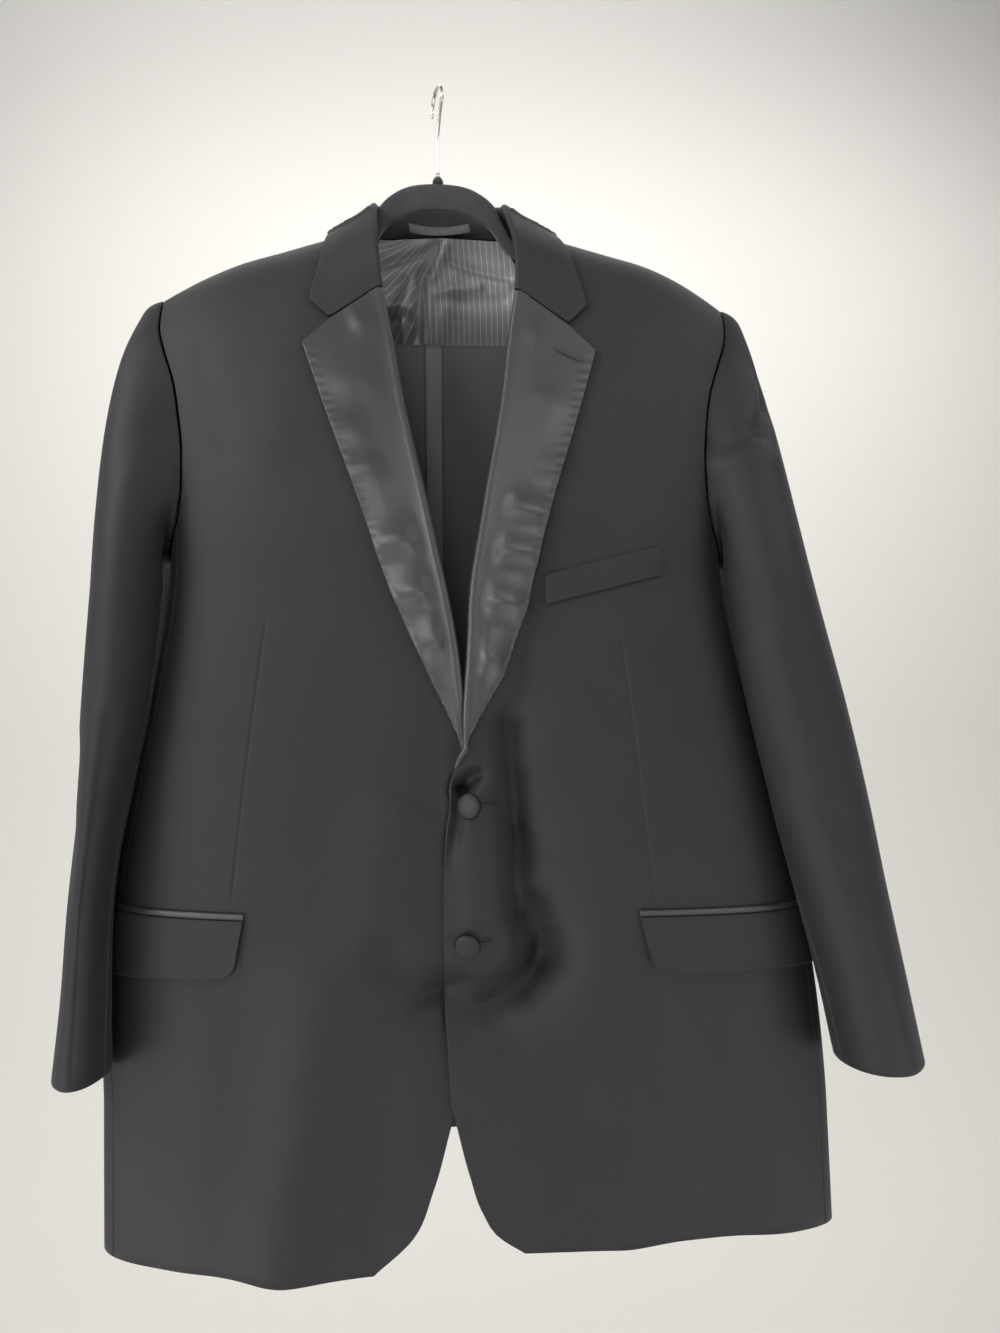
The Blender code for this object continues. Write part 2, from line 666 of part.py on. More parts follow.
def panel(name, side, girth, height, cloth="wool"):
    drop = smooth(girth, HEM_DROP[side]["girth"], HEM_DROP[side]["drop"])
    point, normal = girth_point(side, girth, height - drop * ease(-0.80, HEM_HEIGHT, height))
    face = inset(point)
    return wall(name, hung(face), hung(face - normal * WALL), cloth)


def add_body_panels():
    for side, word in ((LEFT, "left"), (RIGHT, "right")):
        panel(f"front_{word}", side, *front_grid(side))
        panel(f"side_{word}", side, *side_grid())
        panel(f"back_{word}", side, *back_grid(side))


# ---- Sleeves -------------------------------------------------------------------------------------

def armhole_stations(side):
    """Points round an armhole from its top, down the front, under the arm and up the back."""
    low = ARMHOLE["height"][-1]
    front = girth_point(side, girth_at(ARMHOLE["front"], ARMHOLE["height"]), ARMHOLE["height"])[0]
    back = girth_point(side, 1 - girth_at(ARMHOLE["back"], ARMHOLE["height"]), ARMHOLE["height"])[0]
    girth = mix(side_seam(low, False), side_seam(low, True), np.arange(1, 6) / 6)
    under = girth_point(side, girth, np.array(UNDERARM))[0]
    return np.concatenate([front, under, back[:0:-1]])


def sleeve_ring(side, height):
    """One ring of a sleeve: an ellipse turned so that its front edge comes inward."""
    names = ("inner", "outer", "middle", "depth", "turn")
    row = {name: read(SLEEVE[side], "height", height, name) for name in names}
    turn = np.radians(row["turn"])
    half = (row["outer"] - row["inner"]) / 2
    short = np.sqrt(half ** 2 - (row["depth"] * np.sin(turn)) ** 2) / np.cos(turn)
    angle = 2 * np.pi * np.arange(STATIONS) / STATIONS
    out, fore = short * np.cos(angle), -row["depth"] * np.sin(angle)
    x = (row["outer"] + row["inner"]) / 2 + out * np.cos(turn) + fore * np.sin(turn)
    y = row["middle"] - out * np.sin(turn) + fore * np.cos(turn)
    return mirrored(np.stack([x, y, np.full(STATIONS, height)], -1), side)


def beside_body(side, ring, strength):
    """Pushes ring points that would touch the body out beside it."""
    x, y, z = np.moveaxis(mirrored(ring, side), -1, 0)
    deep = np.where(y > 0, read(BODY, "height", z, "back"), read(BODY, "height", z, "front"))
    share = np.clip(1 - (y / deep) ** 2, 0, 1) ** (1 / SIDE_ROUNDING)
    edge = read(BODY, "height", z, "half_width") * share + SLEEVE_CLEARANCE
    soft = 0.004
    clear = (x + edge + np.sqrt((x - edge) ** 2 + soft ** 2)) / 2
    return mirrored(np.stack([mix(x, clear, strength), y, z], -1), side)


def sleeve_rings(side):
    seam = armhole_stations(side)
    start = seam + np.array([side * 0.0005, 0, 0])
    arm = sleeve_ring(side, SLEEVE[side]["height"][0])
    angle = 2 * np.pi * np.arange(STATIONS) / STATIONS
    span = np.linalg.norm(arm - start, axis=1, keepdims=True)
    out = unit(np.stack([np.full(STATIONS, side * 1.0), -0.25 * np.sin(angle), -0.15 + 0 * angle], -1))
    head = SLEEVE_HEAD[side]
    leave = start + out * (SLEEVE_PUFF + head["puff"] * span)
    arrive = arm + np.array([-side * head["slant"], 0.05, 1]) * SLEEVE_ARRIVE * span
    rings = []
    for t in (0, 0.10, 0.24, 0.42, 0.62, 0.82):
        bend = (1 - t) ** 3 * start + 3 * t * (1 - t) ** 2 * leave
        bend = bend + 3 * t * t * (1 - t) * arrive + t ** 3 * arm
        rings.append(beside_body(side, bend, ease(0, 0.3, t)))
    cuff = SLEEVE[side]["height"][-1]
    for height in np.linspace(SLEEVE[side]["height"][0], cuff, 7):
        rings.append(beside_body(side, sleeve_ring(side, height), 1))
    return np.array(rings)


def add_sleeves():
    for side, word in ((LEFT, "left"), (RIGHT, "right")):
        rings = sleeve_rings(side)
        normals = grid_normals(rings, around=True)
        outward = rings - rings.mean(1, keepdims=True)
        normals = normals * np.sign((normals * outward).sum())
        under = np.arange(FRONT_SEAM_STATION, BACK_SEAM_STATION + 1)
        top = np.arange(BACK_SEAM_STATION, STATIONS + FRONT_SEAM_STATION + 1) % STATIONS
        for name, stations in ((f"top_sleeve_{word}", top), (f"under_sleeve_{word}", under)):
            face = inset(rings[:, stations], SLEEVE_SEAM_GAP / 2)
            wall(name, hung(face), hung(face - normals[:, stations] * LEAF), "wool")


# ---- Lapels and collar ---------------------------------------------------------------------------

def lapel_grid(side):
    """Middle of the lapel's cloth: from the front's edge up to the roll line and back out over the chest."""
    t = np.linspace(0, 1, LAPEL_ROWS + 1)
    fold_z = mix(GORGE_END[1], ROLL_END_HEIGHT, t)
    fold_x = read(ROLL_LINE, "height", fold_z, "across") + ROLL_END[side] * ease(-0.44, -0.53, fold_z)
    edge_z = mix(LAPEL_POINT[1], ROLL_END_HEIGHT, t)
    edge_x = read(LAPEL_EDGE[side], "height", edge_z, "across")
    seam_x = front_edge(side, fold_z) - SEAM_GAP
    near = np.minimum(fold_x + 0.0030, mix(fold_x, seam_x, 0.6))
    columns = [(seam_x, fold_z, -WALL / 2 + 0 * t), (near, fold_z, -WALL / 2 + 0 * t)]
    for angle in np.radians((-60, 0, 60)):
        across = fold_x + 0.0022 - FOLD_HALF * 0.75 * np.cos(angle)
        lift = (ROLL_LIFT - LEAF / 2 - WALL / 2) / 2 + np.sin(angle) * (ROLL_LIFT + WALL / 2 - LEAF / 2) / 2
        columns.append((across, fold_z, lift + 0 * t))
    straight = np.hypot(LAPEL_POINT[0] - GORGE_END[0], LAPEL_POINT[1] - GORGE_END[1])
    to_notch = np.hypot(NOTCH[0] - GORGE_END[0], NOTCH[1] - GORGE_END[1]) / straight
    for share in LEAF_SHARES:
        x, z = mix(fold_x + 0.0040, edge_x, share), mix(fold_z, edge_z, share)
        kink_x = np.interp(share, (0, to_notch, 1), (GORGE_END[0] + 0.004, NOTCH[0], LAPEL_POINT[0]))
        kink_z = np.interp(share, (0, to_notch, 1), (GORGE_END[1], NOTCH[1], LAPEL_POINT[1]))
        fade = np.exp(-(t * LAPEL_ROWS / 1.3) ** 2)
        x, z = x + fade * (kink_x - x[0]), z + fade * (kink_z - z[0])
        lift = mix(ROLL_LIFT, EDGE_LIFT, share ** 0.6) - LEAF / 2
        columns.append((x, z, lift + 0 * t))
    across, height, lift = (np.stack(part, 1) for part in zip(*columns))
    return body_point(side, across, height, False, lift)[0]


def add_lapels():
    for side, word in ((LEFT, "left"), (RIGHT, "right")):
        middle = inset(lapel_grid(side), 0.0002)
        normal = grid_normals(middle)
        half = LEAF / 2
        wall(f"lapel_{word}", hung(middle + normal * half), hung(middle - normal * half), "satin")


def collar_half():
    """Middle of the collar's cloth for the wearer's left half, from the gorge round to the centre back."""
    stations = np.arange(len(COLLAR["seam_x"]))
    at = np.array(COLLAR_ROWS)
    row = {name: smooth(at, stations, values) for name, values in COLLAR.items()}
    behind = at > COLLAR_BEHIND
    seam = body_point(LEFT, row["seam_x"], row["seam_z"], behind, STAND_LIFT)[0]
    edge = body_point(LEFT, row["edge_x"], row["edge_z"], behind, COLLAR_EDGE_LIFT)[0]
    fold = np.stack([row["fold_x"], row["fold_y"], row["fold_z"]], -1)
    out = unit(np.cross(np.gradient(fold, axis=0), edge - fold))
    out = out * np.sign((out * (edge * [1, 1, 0])).sum(-1, keepdims=True) + 1e-9)
    down_in, down_out = unit(seam - fold), unit(edge - fold)
    down = unit(down_in + down_out)
    rise = smooth(at, (0, 1, 2.5, 4, 8), (0.0022, 0.0024, 0.0026, 0.0026, 0.0026))[:, None]
    stand_top, fall_top = fold + down * 0.0035 - out * rise, fold + down * 0.0035 + out * rise
    columns = [seam, mix(seam, stand_top, 0.5), stand_top, fold + down * 0.0009 - out * rise * 0.75]
    columns += [fold, fold + down * 0.0009 + out * rise * 0.75]
    to_notch = 0.70
    for share in (0.0, 0.25, 0.5, to_notch, 1.0):
        columns.append(mix(fall_top, edge, share))
    grid = np.stack(columns, 1)
    notch = body_point(LEFT, NOTCH[0], NOTCH[1] + 0.0012, False, COLLAR_EDGE_LIFT)[0]
    fade = np.exp(-(at / 0.55) ** 2)[:, None]
    bend = notch - grid[0, -2]
    for column, weight in ((-4, 0.36), (-3, 0.72), (-2, 1.0)):
        grid[:, column] += fade * bend * weight
    return clear_of_body(grid, behind)


def clear_of_body(grid, behind):
    """Lifts the fall where a straight run would cut into the shoulder."""
    for column in range(6, grid.shape[1]):
        point = grid[:, column]
        surface, normal = body_point(LEFT, point[:, 0], point[:, 2], behind, 0.0)
        over_ridge = point[:, 2] - ridge(point[:, 0])
        beside = ((point - surface) * normal).sum(-1)
        above = np.where(over_ridge > 0, over_ridge * RIDGE_SLOPE, beside)
        grid[:, column] = point + normal * np.maximum(COLLAR_EDGE_LIFT - above, 0)[:, None]
    return grid


def add_collar():
    half = collar_half()
    half[-1, :, 0] = 0
    middle = np.concatenate([half, mirrored(half[-2::-1], RIGHT)])
    middle = inset(middle, 0.0002)
    normal = grid_normals(middle)
    wall("collar", hung(middle + normal * LEAF / 2), hung(middle - normal * LEAF / 2), "wool")


# ---- Pockets, buttons, lining --------------------------------------------------------------------

def strip_girths(side, across, height, distances):
    """Girths at these distances along a strip that starts this far across."""
    start = girth_at(across, height)
    girths = np.linspace(start, 0.6, 240)
    run = girth_point(side, girths, height)[0]
    along = np.append(0, np.cumsum(np.linalg.norm(np.diff(run, axis=0), axis=1)))
    return np.interp(distances, along, girths)


def raised(name, side, girth, height, lift, thick, cloth):
    """A piece that lies on the body, made from its points, moved out."""
    face = girth_point(side, girth, height, lift + thick)[0]
    back = girth_point(side, girth, height, lift)[0]
    return wall(name, hung(face), hung(back), cloth)


def add_hip_pockets():
    for side, word in ((LEFT, "left"), (RIGHT, "right")):
        pocket = POCKET[side]
        along = np.array(FLAP_COLUMNS)
        top = pocket["top"] + pocket["rise"] * along / POCKET_LENGTH
        rows = np.linspace(0, 1, 2)[:, None]
        girth = strip_girths(side, pocket["inner"], pocket["top"], along)
        raised(f"jet_{word}", side, girth + 0 * rows, top - JET_HEIGHT * rows, 0.0012, 0.0014, "satin")
        near_end = np.minimum(along, POCKET_LENGTH - along)
        cut = FLAP_CORNER - np.sqrt(FLAP_CORNER ** 2 - np.maximum(FLAP_CORNER - near_end, 0) ** 2)
        rows = np.linspace(0, 1, 4)[:, None]
        flap_top = top - JET_HEIGHT - SEAM_GAP
        flap_low = pocket["top"] - FLAP_HEIGHT + cut
        height = flap_top + (flap_low - flap_top) * rows
        spread = strip_girths(side, pocket["inner"], pocket["top"], along + FLAP_SLANT * rows)
        raised(f"flap_{word}", side, spread, height, 0.0012, 0.0020, "wool")


def add_welt():
    t = np.linspace(0, 1, 6)
    across = mix(WELT["inner"], WELT["outer"], t)
    top = mix(WELT["inner_top"], WELT["outer_top"], t)
    height = top - WELT["height"] * np.linspace(0, 1, 3)[:, None]
    across = across + 0 * height
    face = body_point(LEFT, across, height, False, 0.0026)[0]
    back = body_point(LEFT, across, height, False, 0.0006)[0]
    wall("welt_chest", hung(face), hung(back), "wool")


def add_buttons():
    """Covered buttons: a domed disc, turned about its own axis, on the lapped front."""
    angles = 2 * np.pi * np.arange(18) / 18
    steps = (0.55, 0.06), (0.90, 0.12), (1.00, 0.40), (0.93, 0.70), (0.68, 0.92), (0.30, 1.00)
    profile = table("radius lift", *steps)
    for word, across, height in zip(("upper", "lower"), BUTTONS["across"], BUTTONS["height"]):
        seat, normal = body_point(LEFT, across, height, False, BUTTON_SEAT)
        side_way = unit(np.cross(normal, [0, 0, 1.0]))
        up = np.cross(side_way, normal)
        wheel = np.cos(angles)[:, None] * side_way + np.sin(angles)[:, None] * up
        rings = [
            seat + wheel * BUTTON_RADIUS * radius + normal * BUTTON_THICKNESS * lift
            for radius, lift in zip(profile["radius"], profile["lift"])
        ]
        tube(f"button_{word}", hung(np.array(rings)), "satin")


def add_lining():
    """The lining of the back, as far as it shows below the neck, hanging a little loose in folds."""
    across = np.linspace(-LINING_HALF, LINING_HALF, 15)
    top = read(BACK_NECK, "across", np.abs(across), "height") - 0.0012
    top = np.minimum(top, ridge(across) - 0.0120 - 1.2 * np.maximum(np.abs(across) - 0.055, 0))
    height = mix(top, LINING_LOW, np.linspace(0, 1, 10)[:, None] ** 1.2)
    across = across + 0 * height
    crease = across + 0.010 - 0.31 * (height + 0.155)
    fold = np.exp(-((crease + 0.016) / 0.011) ** 2) + np.exp(-((crease - 0.016) / 0.011) ** 2)
    loose = mix(LINING_NEAR, LINING_LOOSE, ease(-0.13, -0.20, height))
    loose = loose + 0.004 * fold * ease(-0.125, -0.17, height)
    loose = loose + 0.0045 * np.exp((height - ridge(across)) / 0.02)
    depth = np.sqrt(squared_depth(across, height, True)) - WALL - loose
    face = np.stack([across, depth, height], -1)
    wall("lining_back", hung(face), hung(face + np.array([0, 0.0012, 0])), "lining")


def add_label():
    """The bare label on the inside of the collar stand, held at its top, its lower edge standing off."""
    half = collar_half()
    seam, top = half[-1, 0], half[-1, 2]
    rows = np.linspace(0, 1, 3)[:, None, None]
    share = mix(LABEL_TOP, LABEL_LOW, rows)
    across = np.linspace(-LABEL_HALF, LABEL_HALF, 7)[None, :, None]
    middle = mix(seam, top, share) + across * np.array([1.0, 0, 0])
    bend = (np.abs(across) / 0.045) ** 2 * 0.018
    off = LEAF / 2 + 0.0012 + bend + 0.0012 * rows ** 2
    face = middle - np.array([0, 1.0, 0]) * (off + 0.0010)
    back = middle - np.array([0, 1.0, 0]) * off
    wall("neck_label", hung(face), hung(back), "label")


# ---- Trousers ------------------------------------------------------------------------------------

def leg_path(radius, closed_at):
    """Distance along, y, z and outward direction of a leg's cloth: up the front, over the bar and down."""
    over = np.linspace(-np.pi / 2, np.pi / 2, 9)
    drop = np.linspace(0, 1, 9) ** 1.3
    back_drop = LEG_LENGTH - FRONT_DROP - OVER_BAR
    front = np.stack([-radius + 0 * drop, BAR_HEIGHT - FRONT_DROP * drop], -1)[:0:-1]
    cap = np.stack([radius * np.sin(over), BAR_HEIGHT + radius * np.cos(over)], -1)
    back = np.stack([radius + 0 * drop, BAR_HEIGHT - back_drop * drop], -1)[1:]
    path = np.concatenate([front, cap, back])
    along = np.append(0, np.cumsum(np.linalg.norm(np.diff(path, axis=0), axis=1)))
    closing = (radius - closed_at) * ease(0, -0.07, path[:, 1] - BAR_HEIGHT)
    path[:, 0] -= np.sign(path[:, 0]) * closing
    tangent = unit(np.gradient(path, axis=0))
    return along, path, np.stack([-tangent[:, 1], tangent[:, 0]], -1)


def leg_layer(path_of, left, right, columns, low, high):
    """A wall that follows a leg's path between two offsets from its middle."""
    along, path, out = leg_path(**path_of)
    share = np.linspace(0, 1, columns + 1)
    left, right = left(along)[:, None], right(along)[:, None]
    x = mix(left, right, share)

    def at(offset):
        y = path[:, :1] + out[:, :1] * offset + 0 * x
        z = path[:, 1:] + out[:, 1:] * offset + 0 * x
        return tilted(np.stack([x, y, z], -1))

    return at(high), at(low)


def leg_edge(column):
    return lambda along: read(LEG_EDGES, "along", along, column)


def stripe_edge(half):
    return lambda along: STRIPE_ACROSS + half + 0 * along


def add_trousers():
    half = TROUSER_WALL / 2
    edges = leg_edge("back"), leg_edge("front")
    stripe = stripe_edge(-STRIPE_WIDTH / 2), stripe_edge(STRIPE_WIDTH / 2)
    wall("trouser_leg_inner", *leg_layer(LEG_INNER, *edges, 2, -half, half), "wool")
    wall("trouser_leg_outer", *leg_layer(LEG_OUTER, *edges, 2, -half, half), "wool")
    lift = half + SEAM_GAP
    wall("stripe_outer", *leg_layer(LEG_OUTER, *stripe, 1, lift, lift + SATIN), "satin")
    wall("stripe_inner", *leg_layer(LEG_INNER, *stripe, 1, -lift - SATIN, -lift), "satin")
    add_waistband()


def add_waistband():
    """The waistband, folded flat across both legs where they end."""
    path = leg_path(**LEG_OUTER)[1]
    end = path[-1, 1]
    middle = (LEG_INNER["closed_at"] + LEG_OUTER["closed_at"]) / 2
    along = LEG_LENGTH + np.array([0.001, WAISTBAND_HEIGHT])
    edge = np.linspace(0, 2 * np.pi, 16, endpoint=False)
    rings = []
    for run in along:
        left, right = leg_edge("back")(run), leg_edge("front")(run)
        x = (left + right) / 2 + (right - left) / 2 * np.sign(np.cos(edge)) * np.abs(np.cos(edge)) ** 0.5
        y = middle + WAISTBAND_THICKNESS / 2 * np.sign(np.sin(edge)) * np.abs(np.sin(edge)) ** 0.5
        z = np.full(len(edge), end - (run - LEG_LENGTH))
        rings.append(tilted(np.stack([x, y, z], -1)))
    tube("waistband", rings, "wool")


# ---- Hanger --------------------------------------------------------------------------------------

def add_hanger():
    """The flocked body: one closed band from the neck arch down the arms and along the trouser bar."""
    half = np.stack([HANGER["across"], HANGER["height"], HANGER["half"]], -1)
    mirror = half[:0:-1] * np.array([-1, 1, 1])
    middle = np.array([[0, BAR_HEIGHT, BAR_RADIUS]])
    outline = np.concatenate([half, middle, mirror])
    tangent = unit(np.roll(outline, -1, 0)[:, :2] - np.roll(outline, 1, 0)[:, :2])
    normal = np.stack([-tangent[:, 1], tangent[:, 0]], -1)
    angles = np.radians((22, 68, 112, 158, 202, 248, 292, 338))
    thick = np.minimum(HANGER_THICKNESS / 2, outline[:, 2])
    rings = []
    for (x, z, tall), (nx, nz), deep in zip(outline, normal, thick):
        up = tall * np.clip(np.cos(angles) * 1.15, -1, 1)
        rings.append(np.stack([x + nx * up, deep * np.clip(np.sin(angles) * 1.15, -1, 1), z + nz * up], -1))
    tube("hanger_body", tilted(np.array(rings)), "flock", closed=True)


def hook_route():
    """Middle of the hook's wire: up from the boss, out to the front, over the rail and down behind it."""
    centre = -HOOK_RADIUS + WIRE_RADIUS
    angle = np.radians(np.linspace(210, 0, 15) - 20)
    loop = np.stack([HOOK_RADIUS * np.cos(angle), centre + HOOK_RADIUS * np.sin(angle)], -1)
    rise = np.linspace(0, 1, 7)[:-1, None]
    foot, knee = np.array([0, BOSS_TIP + 0.0003]), np.array([0, -0.046])
    neck = knee + (loop[0] - knee) * np.array([0.75, 0.45])
    bend = (1 - rise) ** 2 * knee + 2 * rise * (1 - rise) * (knee + [0, 0.010]) + rise ** 2 * loop[0]
    bend[:, 0] = mix(bend[:, 0], neck[0] * rise[:, 0] ** 1.5, 0.4)
    flat = np.concatenate([[foot], bend, loop])
    turn = np.radians(HOOK_TURN)
    return np.stack([-flat[:, 0] * np.sin(turn), flat[:, 0] * np.cos(turn), flat[:, 1]], -1)


def add_boss():
    """The ferrule that the hook turns in, standing on the arch."""
    angles = 2 * np.pi * np.arange(12) / 12
    profile = table("radius height", (1.0, -0.0866), (1.0, -0.0840), (0.72, -0.0815), (0.42, BOSS_TIP))
    wheel = np.stack([np.cos(angles), 0.9 * np.sin(angles), 0 * angles], -1) * BOSS_RADIUS
    rings = [wheel * [r, r, 0] + [0, 0, z] for r, z in zip(profile["radius"], profile["height"])]
    tube("hanger_boss", tilted(np.array(rings)), "flock")


def add_hook():
    """The wire, swept round its route."""
    route = tilted(hook_route())
    tangent = unit(np.gradient(route, axis=0))
    turn = np.radians(HOOK_TURN)
    across = np.array([np.cos(turn), np.sin(turn), 0.0])
    other = unit(np.cross(tangent, across))
    angles = 2 * np.pi * np.arange(WIRE_SIDES) / WIRE_SIDES
    spokes = np.cos(angles)[:, None] * across + np.sin(angles)[:, None] * other[:, None]
    tube("hanger_hook", route[:, None] + spokes * WIRE_RADIUS, "steel")


def main():
    for old in list(bpy.data.objects):
        bpy.data.objects.remove(old)
    add_body_panels()
    add_sleeves()
    add_lapels()
    add_collar()
    add_hip_pockets()
    add_welt()
    add_buttons()
    add_lining()
    add_label()
    add_trousers()
    add_hanger()
    add_boss()
    add_hook()


main()
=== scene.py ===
"""The tuxedo on its hanger: finished cloth, satin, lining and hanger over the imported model's solids.

Metres, +Z up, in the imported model's frame: the origin is the seat of the hook, +X is the wearer's left, and
the fronts face -Y. The cloth is laid out on one body surface: "girth" runs round it from 0 at the centre
front, through 0.5 at the side, to 1 at the centre back, and "height" is z, from the hook and so below 0.
"""

from functools import partial

import bpy
import numpy as np
from mathutils import Matrix, Vector


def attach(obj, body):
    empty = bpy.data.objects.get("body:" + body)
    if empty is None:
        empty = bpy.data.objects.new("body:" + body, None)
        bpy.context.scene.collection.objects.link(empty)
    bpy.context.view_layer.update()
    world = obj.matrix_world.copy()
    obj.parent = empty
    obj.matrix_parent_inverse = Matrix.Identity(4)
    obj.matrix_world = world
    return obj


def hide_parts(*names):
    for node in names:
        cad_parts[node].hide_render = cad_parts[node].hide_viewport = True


def table(columns, *rows):
    """A short table as a dictionary of named columns; the first column is the one it is read by."""
    return dict(zip(columns.split(), np.array(rows, float).T))


# Cloth: walls, gaps at the seams, and how far a shell's rim is drawn in, as a share of its wall
WALL, LEAF, SATIN = 0.0022, 0.0020, 0.0008
TROUSER_WALL, WAISTBAND_WALL, LINING_WALL, LABEL_WALL = 0.0026, 0.0014, 0.0012, 0.0010
SEAM_GAP, SLEEVE_SEAM_GAP, PANEL_GAP, LEAF_GAP = 0.0003, 0.0006, 0.00005, 0.0002
BEVEL, LEAST_CUT = 0.35, 0.010
LEFT, RIGHT = 1, -1
SIDES = (LEFT, "left"), (RIGHT, "right")

# The body that the jacket hangs as: half width and depths of its sections, by height
BODY = table(
    "height half_width front back",
    (-0.1, 0.25, 0.034, 0.05), (-0.205, 0.25, 0.044, 0.05), (-0.25, 0.247, 0.052, 0.054),
    (-0.3, 0.24, 0.061, 0.06), (-0.35, 0.2325, 0.069, 0.066), (-0.42, 0.2265, 0.076, 0.07),
    (-0.54, 0.243, 0.077, 0.068), (-0.62, 0.261, 0.073, 0.064), (-0.7, 0.2785, 0.066, 0.058),
    (-0.84, 0.288, 0.055, 0.052), (-0.97, 0.287, 0.051, 0.05),
)
SIDE_ROUNDING = 5
SECTION_STEPS, SECTION_WIDTH, SECTION_DEPTH = 600, 0.26, 0.07
SLOPE_STEP = 0.0005
SHOULDER_DROP = 0.080
SHOULDER_RIDGE = table(
    "across height",
    (0, -0.098), (0.03, -0.102), (0.05, -0.1125), (0.067, -0.1265), (0.08, -0.1335),
    (0.096, -0.14), (0.112, -0.145), (0.135, -0.152), (0.176, -0.1645), (0.205, -0.178),
    (0.224, -0.189), (0.2385, -0.198), (0.26, -0.214),
)

# Seams and edges of the jacket
ARMHOLE = table(
    "height front back",
    (-0.198, 0.2385, 0.2385), (-0.203, 0.2387, 0.2387), (-0.215, 0.2385, 0.2385), (-0.233, 0.2365, 0.237),
    (-0.255, 0.2285, 0.2325), (-0.284, 0.2178, 0.226), (-0.314, 0.2118, 0.221), (-0.345, 0.2085, 0.218),
    (-0.375, 0.209, 0.2165), (-0.4, 0.214, 0.218),
)
ARMHOLE_LOW = ARMHOLE["height"][-1]
UNDERARM = (-0.4, -0.413, -0.4215, -0.4245, -0.4215, -0.413, -0.4)
# The fronts' edges: what both share under the lapels, then each below
LAPEL_SEAM = (
    (-0.1265, 0.067), (-0.17, 0.069), (-0.2095, 0.0655), (-0.304, 0.0488), (-0.396, 0.0309),
    (-0.4857, 0.0155),
)
FRONT_EDGE = {
    LEFT: table(
        "height across",
        *LAPEL_SEAM,
        (-0.53, 0.0118), (-0.555, 0.0092), (-0.5755, 0.0036), (-0.58, 0.0005), (-0.631, -0.0115),
        (-0.705, -0.0165), (-0.764, -0.017), (-0.8055, -0.0155), (-0.84, -0.0142), (-0.8626, -0.0096),
        (-0.898, -0.0012), (-0.925, 0.0076), (-0.944, 0.0205), (-0.955, 0.0385),
    ),
    RIGHT: table(
        "height across",
        *LAPEL_SEAM,
        (-0.53, 0.0096), (-0.555, 0.0056), (-0.5755, 0.0004), (-0.58, -0.0028), (-0.62, -0.014),
        (-0.7, -0.017), (-0.76, -0.014), (-0.8, -0.0045), (-0.83, 0.0052), (-0.861, 0.0151),
        (-0.9, 0.0285), (-0.932, 0.045), (-0.955, 0.0735),
    ),
}
SIDE_SEAM_GIRTH, SIDE_SEAM_RUN = 0.440, 0.22
HEM_HEIGHT, HEM_DROP_FROM = -0.9550, -0.80
HEM_DROP = {
    LEFT: table(
        "girth drop",
        (0, 0), (0.17, 0.0005), (0.25, -0.0038), (0.38, -0.0045), (0.5, -0.001),
        (1, 0),
    ),
    RIGHT: table(
        "girth drop",
        (0, 0.0045), (0.13, 0.007), (0.21, 0.0105), (0.27, 0.006), (0.36, 0.004), (0.5, 0.0025),
        (1, 0),
    ),
}
BACK_NECK = table("across height", (0, -0.119), (0.032, -0.1215), (0.056, -0.1262), (0.067, -0.1265))
VENT_TOP = -0.70
VENT = {
    LEFT: table("height across", (-0.96, 0.015), (-0.904, 0.004), (-0.8, 0.001), (-0.7, 0)),
    RIGHT: table("height across", (-0.96, 0.042), (-0.904, 0.022), (-0.8, 0.006), (-0.7, 0)),
}

# Lapels: roll line, outer edge, the leaf's heights off the chest, and how the ends run out below the roll
ROLL_LINE = table(
    "height across",
    (-0.207, 0.0545), (-0.2522, 0.0465), (-0.3043, 0.0388), (-0.396, 0.0209), (-0.4857, 0.005),
    (-0.54, 0.0005), (-0.575, 0),
)
ROLL_END_HEIGHT, ROLL_END, ROLL_END_RUN = -0.5750, {LEFT: 0.0046, RIGHT: -0.0016}, (-0.44, -0.53)
LAPEL_EDGE = {
    LEFT: table(
        "height across",
        (-0.258, 0.118), (-0.317, 0.0992), (-0.4046, 0.0705), (-0.4472, 0.0585), (-0.488, 0.0455),
        (-0.53, 0.0285), (-0.575, 0.0105),
    ),
    RIGHT: table(
        "height across",
        (-0.258, 0.118), (-0.317, 0.0992), (-0.4046, 0.0695), (-0.4472, 0.056), (-0.488, 0.04),
        (-0.53, 0.0212), (-0.575, 0.0052),
    ),
}
GORGE_END, NOTCH, LAPEL_POINT = (0.0545, -0.2070), (0.0962, -0.2355), (0.1180, -0.2580)
ROLL_LIFT, EDGE_LIFT, FOLD_HALF, FOLD_CENTRE, LEAF_START = 0.0062, 0.0034, 0.0030, 0.0022, 0.0040
LAPEL_END = {LEFT: -0.5930, RIGHT: -0.5800}
LAPEL_MEET, LAPEL_MEET_RUN = {LEFT: -0.0030, RIGHT: 0.0}, (-0.480, -0.560)
LAPEL_TIP, LAPEL_TAIL, TAIL_OVER, LOW_END, LEAST_WIDTH = 0.40, 0.3, 0.0002, 0.45, 0.0052
LAPEL_NARROW_FROM, LAPEL_TIP_HEIGHT, TAPER_RUN, TAIL_BLEND = -0.5300, -0.5790, (-0.535, -0.577), 0.006
NOTCH_FADE = 0.10

